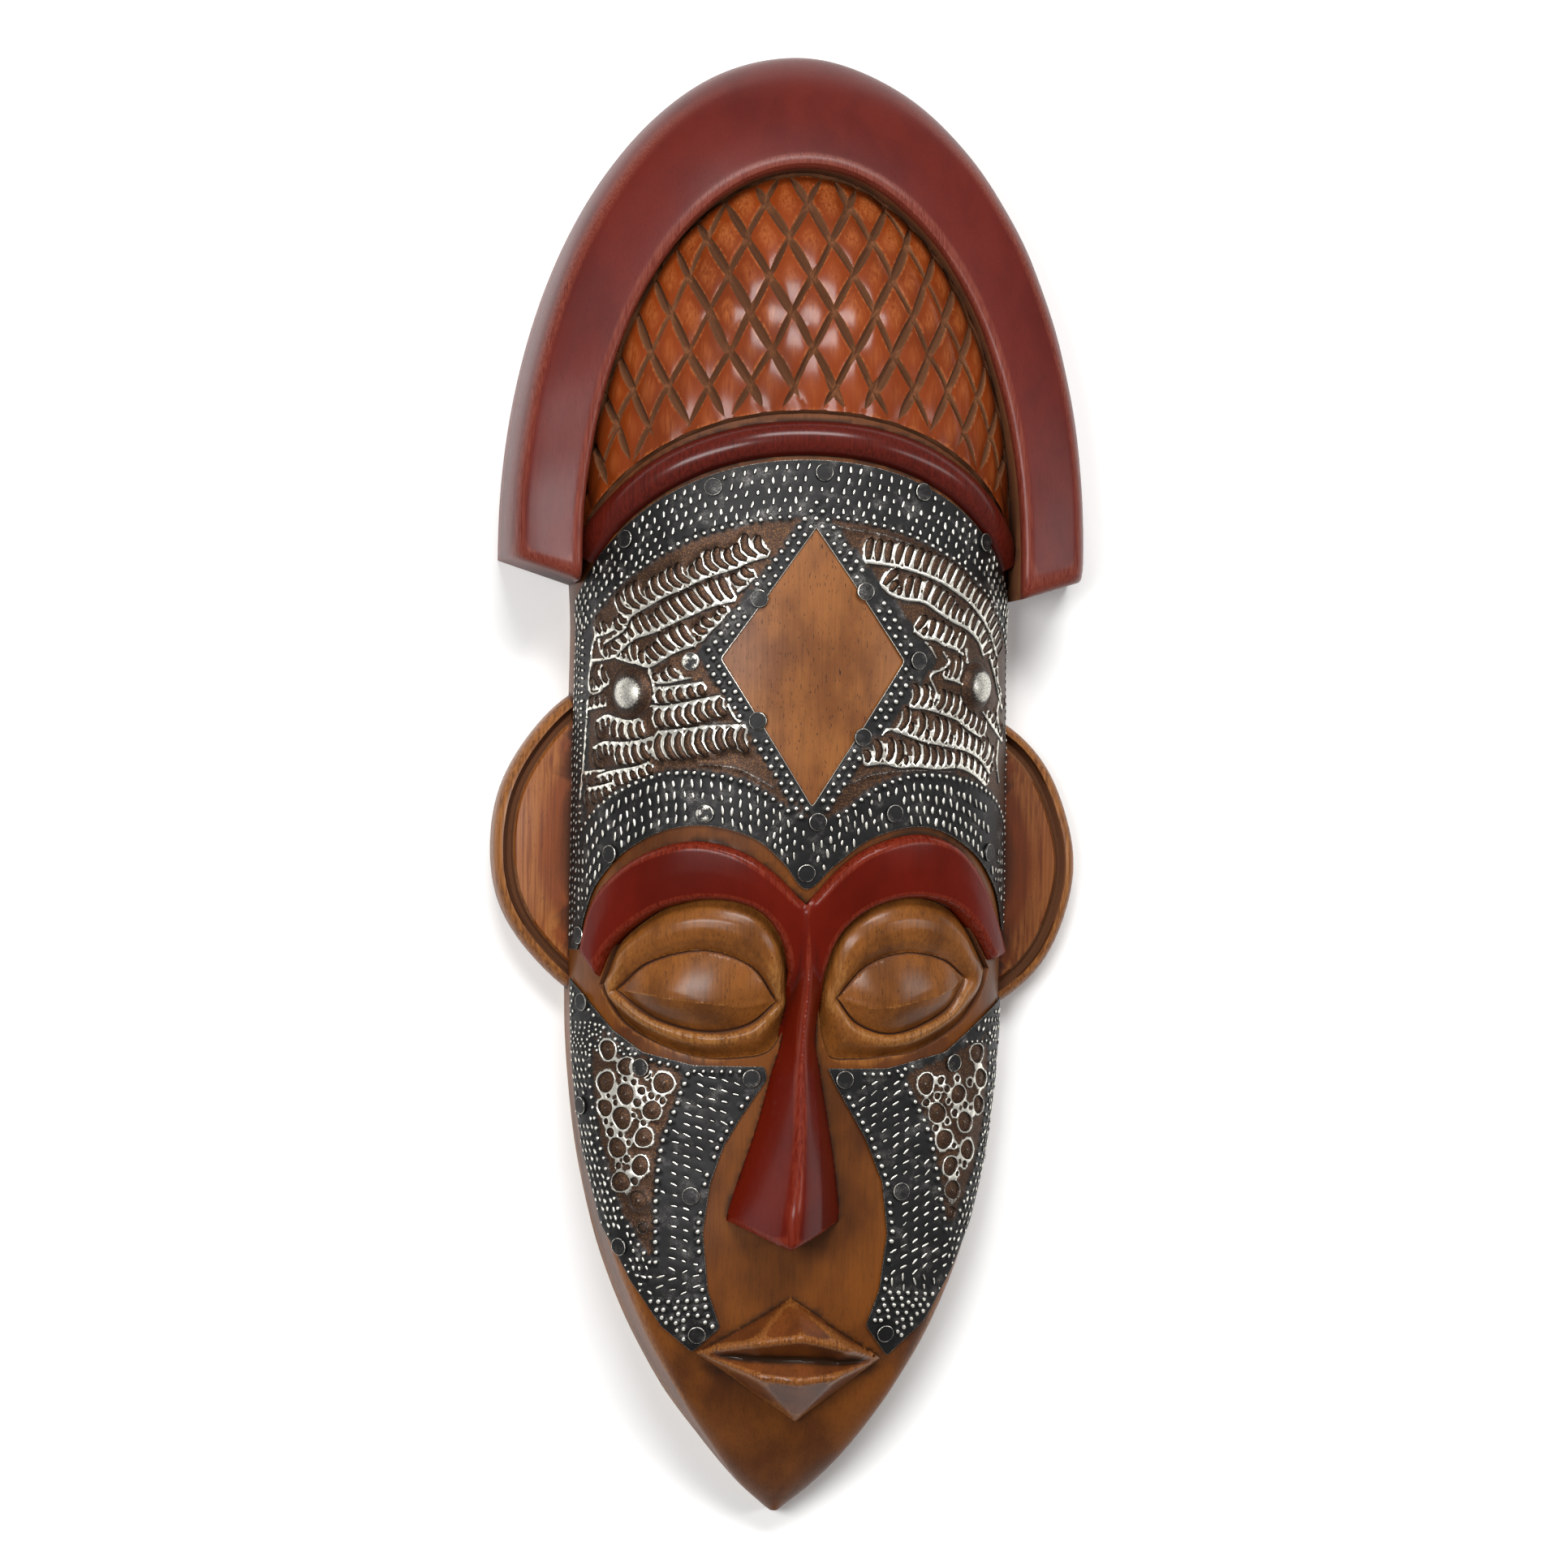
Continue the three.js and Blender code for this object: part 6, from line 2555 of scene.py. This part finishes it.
CHEEKS = (
    CheekPlan(
        name="cheek_plate_left",
        side=Side.LEFT,
        outline=((-73.6, -66.8), (-67.3, -75), (-60.6, -83.4), (-51, -90.6), (-34.3, -94.6), (-11.3, -94.6),
            (-10.3, -98.6), (-18.4, -111), (-24.1, -121.2), (-28.4, -134.1), (-30.4, -150.8),
            (-28.3, -170.3), (-23.9, -182.6), (-32.6, -191), (-42.8, -182.7), (-53.1, -167.4), (-62.3, -149),
            (-68.1, -126.2), (-71.2, -106.6), (-73.6, -83.9)),
        nails=LEFT_NAILS,
        field_inner=((-37.2, -97.4), (-38.5, -101), (-40.4, -107.6), (-43, -115), (-44.9, -121), (-46, -129),
            (-46.6, -140), (-46.4, -150), (-46.2, -161)),
        field_outer=((-64.8, -82), (-65.9, -87), (-66.4, -94), (-66, -102), (-65, -110), (-63.6, -119),
            (-61.4, -126.8), (-58.9, -137), (-55.6, -145.6), (-50.6, -154), (-46.2, -161)),
        circles=((-61.7, -90.2, 3.4), (-55.8, -95.6, 3.2), (-44.1, -100.7, 3.7), (-62.1, -101.1, 3.7),
            (-55.9, -104.8, 3.4), (-47.5, -110, 3.3), (-62.1, -109.8, 3.1), (-56.9, -112.9, 3.8),
            (-49.9, -119.2, 3.3), (-58.1, -123.1, 3.5), (-50.9, -128.8, 3.3), (-56.8, -134.5, 3.5),
            (-51.3, -140.6, 3.3), (-49.7, -149.7, 1.8), (-56.1, -99.8, 1.1), (-61.3, -96.5, 1.5),
            (-50.9, -103.5, 1.5), (-47.8, -105.1, 1.6), (-44.2, -106.7, 1.4), (-52.2, -107.6, 1.6),
            (-58.9, -107.9, 1.5), (-53.2, -111.9, 1.3), (-50.1, -114.3, 1.6), (-61.7, -114.4, 1.4),
            (-60.3, -118, 1.8), (-53.9, -116.8, 1.8), (-57.2, -118.5, 1.2), (-54.6, -121.2, 1.5),
            (-51.8, -123.6, 1.6), (-55.1, -126.7, 1.6), (-57.6, -129.1, 1.2), (-52.5, -134, 1.8),
            (-61.1, -105.7, 1.1), (-49.1, -98.2, 1.3), (-53.4, -100.7, 1.2), (-53.1, -143.9, 1.5)),
        row_slope=0.24, stroke_angle=-0.36, seed=7,
    ),
    CheekPlan(
        name="cheek_plate_right",
        side=Side.RIGHT,
        outline=((10.1, -95), (12.8, -100.6), (23.4, -118.4), (29.6, -133), (31.8, -150.8), (29.5, -170.1),
            (25.4, -181.7), (33.2, -192.3), (45.8, -180.4), (54.5, -164.9), (62.3, -147.5), (68.4, -124.6),
            (72.2, -96), (73.6, -71.8), (66, -77.4), (51, -89.6), (30.1, -95)),
        nails=RIGHT_NAILS,
        field_inner=((36.4, -97.2), (38.6, -101.8), (41, -105.6), (43.6, -110.4), (46, -115.6), (48, -122),
            (49.4, -129), (51.4, -139), (53.6, -149.5)),
        field_outer=((66.8, -83.6), (67.4, -90), (67.3, -98), (66.8, -108), (65.4, -117), (63.2, -127),
            (59.4, -138), (53.6, -149.5)),
        circles=((62.8, -90.3, 3.5), (64.6, -98.8, 3.4), (44.1, -100.2, 3.5), (56, -104, 3.3),
            (63.9, -107.8, 3.1), (48.5, -110.2, 3.5), (58.7, -113.4, 3.5), (51.2, -119.2, 3.5),
            (59.9, -123, 3.4), (53.8, -128.3, 3.3), (54.6, -136.4, 3.3), (54.4, -144, 2.2),
            (48.3, -104.4, 1.3), (58.7, -107.8, 1.4), (54.9, -110.3, 1.5), (52.2, -113.1, 1.4),
            (55.5, -98.7, 1.2), (49.5, -99.2, 1.5), (52.4, -106.2, 1.5), (51.7, -102.1, 1.3),
            (60.2, -100.1, 1.5), (61.5, -105.6, 1.1), (44.3, -106.6, 1.4), (59, -127.9, 1.3),
            (56.3, -131, 1.3), (58, -118, 1.3), (54.9, -121.4, 1.2), (48, -115.3, 1.3), (51.1, -123.5, 1.4)),
        row_slope=0.45, stroke_angle=0.62, seed=8,
    ),
)


@dataclass
class NailHead:
    """One flat nail head with a bevelled rim."""

    name: str
    at: tuple[float, float]
    tone: NailTone
    seed: int
    radius: float = 3.1
    base: float = 1.05
    steps: int = 30
    profile: Points = (
        (0.93, 0), (1, 0.14), (1, 0.42), (0.965, 0.66), (0.9, 0.8), (0.82, 0.85), (0.76, 0.82), (0.6, 0.84),
        (0.35, 0.86), (0.12, 0.87),
    )

    def build(self) -> Piece:
        """Makes the head square to the wood under it.

        Returns:
            The head.
        """
        place = HEAD.flat([self.at])
        out = HEAD.normal(HEAD.bend(place), place[:, 1])[0]
        centre = HEAD.wrap(place, self.base)[0]
        side = np.cross(out, (0, 1, 0))
        side /= np.linalg.norm(side)
        up = np.cross(side, out)
        draw = np.random.default_rng(self.seed)
        tilt = draw.uniform(-0.035, 0.035, 2)
        turns = np.linspace(0, 2 * math.pi, self.steps, endpoint=False)
        waver = 1 + 0.02 * np.sin(2 * turns + draw.uniform(0, 6))
        waver += 0.012 * np.sin(5 * turns + draw.uniform(0, 6))
        rings = []
        for share, height in self.profile:
            reach = self.radius * share * waver
            across, along = reach * np.cos(turns), reach * np.sin(turns)
            lift = height + across * tilt[0] + along * tilt[1] + 0.1
            rings.append(centre + across[:, None] * side + along[:, None] * up + lift[:, None] * out)
        head = loft(self.name, np.array(rings))
        places = coordinates(head) - centre
        reach = np.hypot(places @ side, places @ up) / self.radius
        rim = ease(1 - np.abs(reach - 0.93) / 0.08) * 0.75
        wear = self.tone.value * (0.7 + 0.3 * smooth_noise(places, 3.0, self.seed))
        store(head, "polish", np.clip(np.maximum(rim, wear), 0, 1))
        store(head, "brown", np.zeros(len(places)))
        head.data.materials.append(METAL)
        only(head)
        bpy.ops.object.shade_smooth_by_angle(angle=math.radians(40))
        return head


class Nails:
    """All the nails of the mask, each a piece of its own."""

    bright = {"forehead_07": NailTone.GREY, "forehead_08": NailTone.BRIGHT, "forehead_12": NailTone.BRIGHT,
              "left_02": NailTone.GREY, "right_02": NailTone.GREY}

    def build(self) -> list[tuple[Piece, str]]:
        """Makes the nails.

        Returns:
            Each nail with the name of the node that it replaces.
        """
        made = []
        for group, places in (("forehead", FOREHEAD_NAILS), ("left", LEFT_NAILS), ("right", RIGHT_NAILS)):
            for number, at in enumerate(places, 1):
                key = f"{group}_{number:02d}"
                tone = self.bright.get(key, NailTone.BLACKENED)
                nail = NailHead(f"tack_{key}", at, tone, 40 + len(made)).build()
                made.append((nail, f"nail_{key}"))
        return made


@dataclass
class Studio:
    """A plain pale floor, soft light and the camera of the photograph."""

    distance: float = 1800.0
    yaw: float = 7.5
    roll: float = 0.9
    scale: float = 0.28
    frame: int = 1932
    centre_x: float = 962.7
    sensor: float = 36.0
    floor_colour: str = "#fbfbfa"
    air_colour: str = "#f4f4f5"
    air_strength: float = 0.24
    lamps: tuple[tuple, ...] = (
        ("soft_top", (0.1, 1.1, 1.5), (1.0, 0.45), 26),
        ("soft_left", (-0.8, 0.1, 1.5), (0.4, 0.9), 19),
        ("soft_right", (1.3, 0.1, 1.2), (0.35, 0.9), 7),
    )

    def camera(self) -> None:
        """Puts the camera where the photograph was taken from."""
        yaw, roll = math.radians(self.yaw), math.radians(self.roll)
        across = Vector((math.cos(yaw), 0, math.sin(yaw)))
        up = Vector((0, 1, 0))
        right = across * math.cos(roll) + up * math.sin(roll)
        top = up * math.cos(roll) - across * math.sin(roll)
        back = Vector((-math.sin(yaw), 0, math.cos(yaw)))
        data = bpy.data.cameras.new("studio_camera")
        data.sensor_width = self.sensor
        data.lens = self.sensor * self.distance / (self.frame * self.scale)
        data.clip_end = 20
        camera = bpy.data.objects.new("studio_camera", data)
        bpy.context.scene.collection.objects.link(camera)
        aside = (self.frame / 2 - self.centre_x) * self.scale
        place = (back * self.distance + right * aside) * MM
        camera.matrix_world = Matrix.Translation(place) @ Matrix((right, top, back)).transposed().to_4x4()
        bpy.context.scene.camera = camera

    def floor(self) -> None:
        """Lays the pale floor."""
        bpy.ops.object.select_all(action="DESELECT")
        bpy.ops.mesh.primitive_plane_add(size=6)
        floor = bpy.context.object
        floor.name = "studio_floor"
        made, _, shader = fresh_material("studio floor, matt pale paint")
        shader.inputs["Base Color"].default_value = linear(self.floor_colour)
        shader.inputs["Roughness"].default_value = 0.9
        floor.data.materials.append(made)

    def lamp(self, name: str, place: Sequence[float], size: Sequence[float], power: float) -> None:
        """Adds one soft lamp that faces the mask.

        Args:
            name: The lamp's name.
            place: Its place in metres.
            size: Width and height of its cloth in metres.
            power: Watts.
        """
        data = bpy.data.lights.new(name, "AREA")
        data.shape = "RECTANGLE"
        data.size, data.size_y = size
        data.energy = power
        lamp = bpy.data.objects.new(name, data)
        bpy.context.scene.collection.objects.link(lamp)
        way = Vector(place)
        lamp.matrix_world = Matrix.Translation(way) @ way.to_track_quat("Z", "Y").to_matrix().to_4x4()

    def build(self) -> None:
        """Sets up camera, floor and light."""
        self.camera()
        self.floor()
        for lamp in self.lamps:
            self.lamp(*lamp)
        world = bpy.context.scene.world or bpy.data.worlds.new("studio")
        bpy.context.scene.world = world
        world.use_nodes = True
        world.node_tree.nodes["Background"].inputs[0].default_value = linear(self.air_colour)
        world.node_tree.nodes["Background"].inputs[1].default_value = self.air_strength
        bpy.context.scene.view_settings.view_transform = "Standard"


def report(piece: Piece) -> None:
    """Says what a finished piece has come to."""
    LOG.info("%s: %d triangles", piece.name, triangle_count(piece))


def main() -> None:
    """Builds the mask piece by piece and reports each."""
    logging.basicConfig(level=logging.INFO, format="%(name)s: %(message)s")
    Studio().build()
    wood = CarvedWood().build()
    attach(wood, "root")
    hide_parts("carved_wood")
    report(wood)
    left, right = (CheekSheet(plan) for plan in CHEEKS)
    for sheet, node in ((ForeheadSheet(), "forehead_sheet"), (left, "cheek_sheet_left"),
                        (right, "cheek_sheet_right")):
        sheet.emboss()
        made = sheet.build()
        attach(made, "root")
        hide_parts(node)
        report(made)
    for nail, node in Nails().build():
        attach(nail, "root")
        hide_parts(node)
        report(nail)


if __name__ == "__main__":
    main()
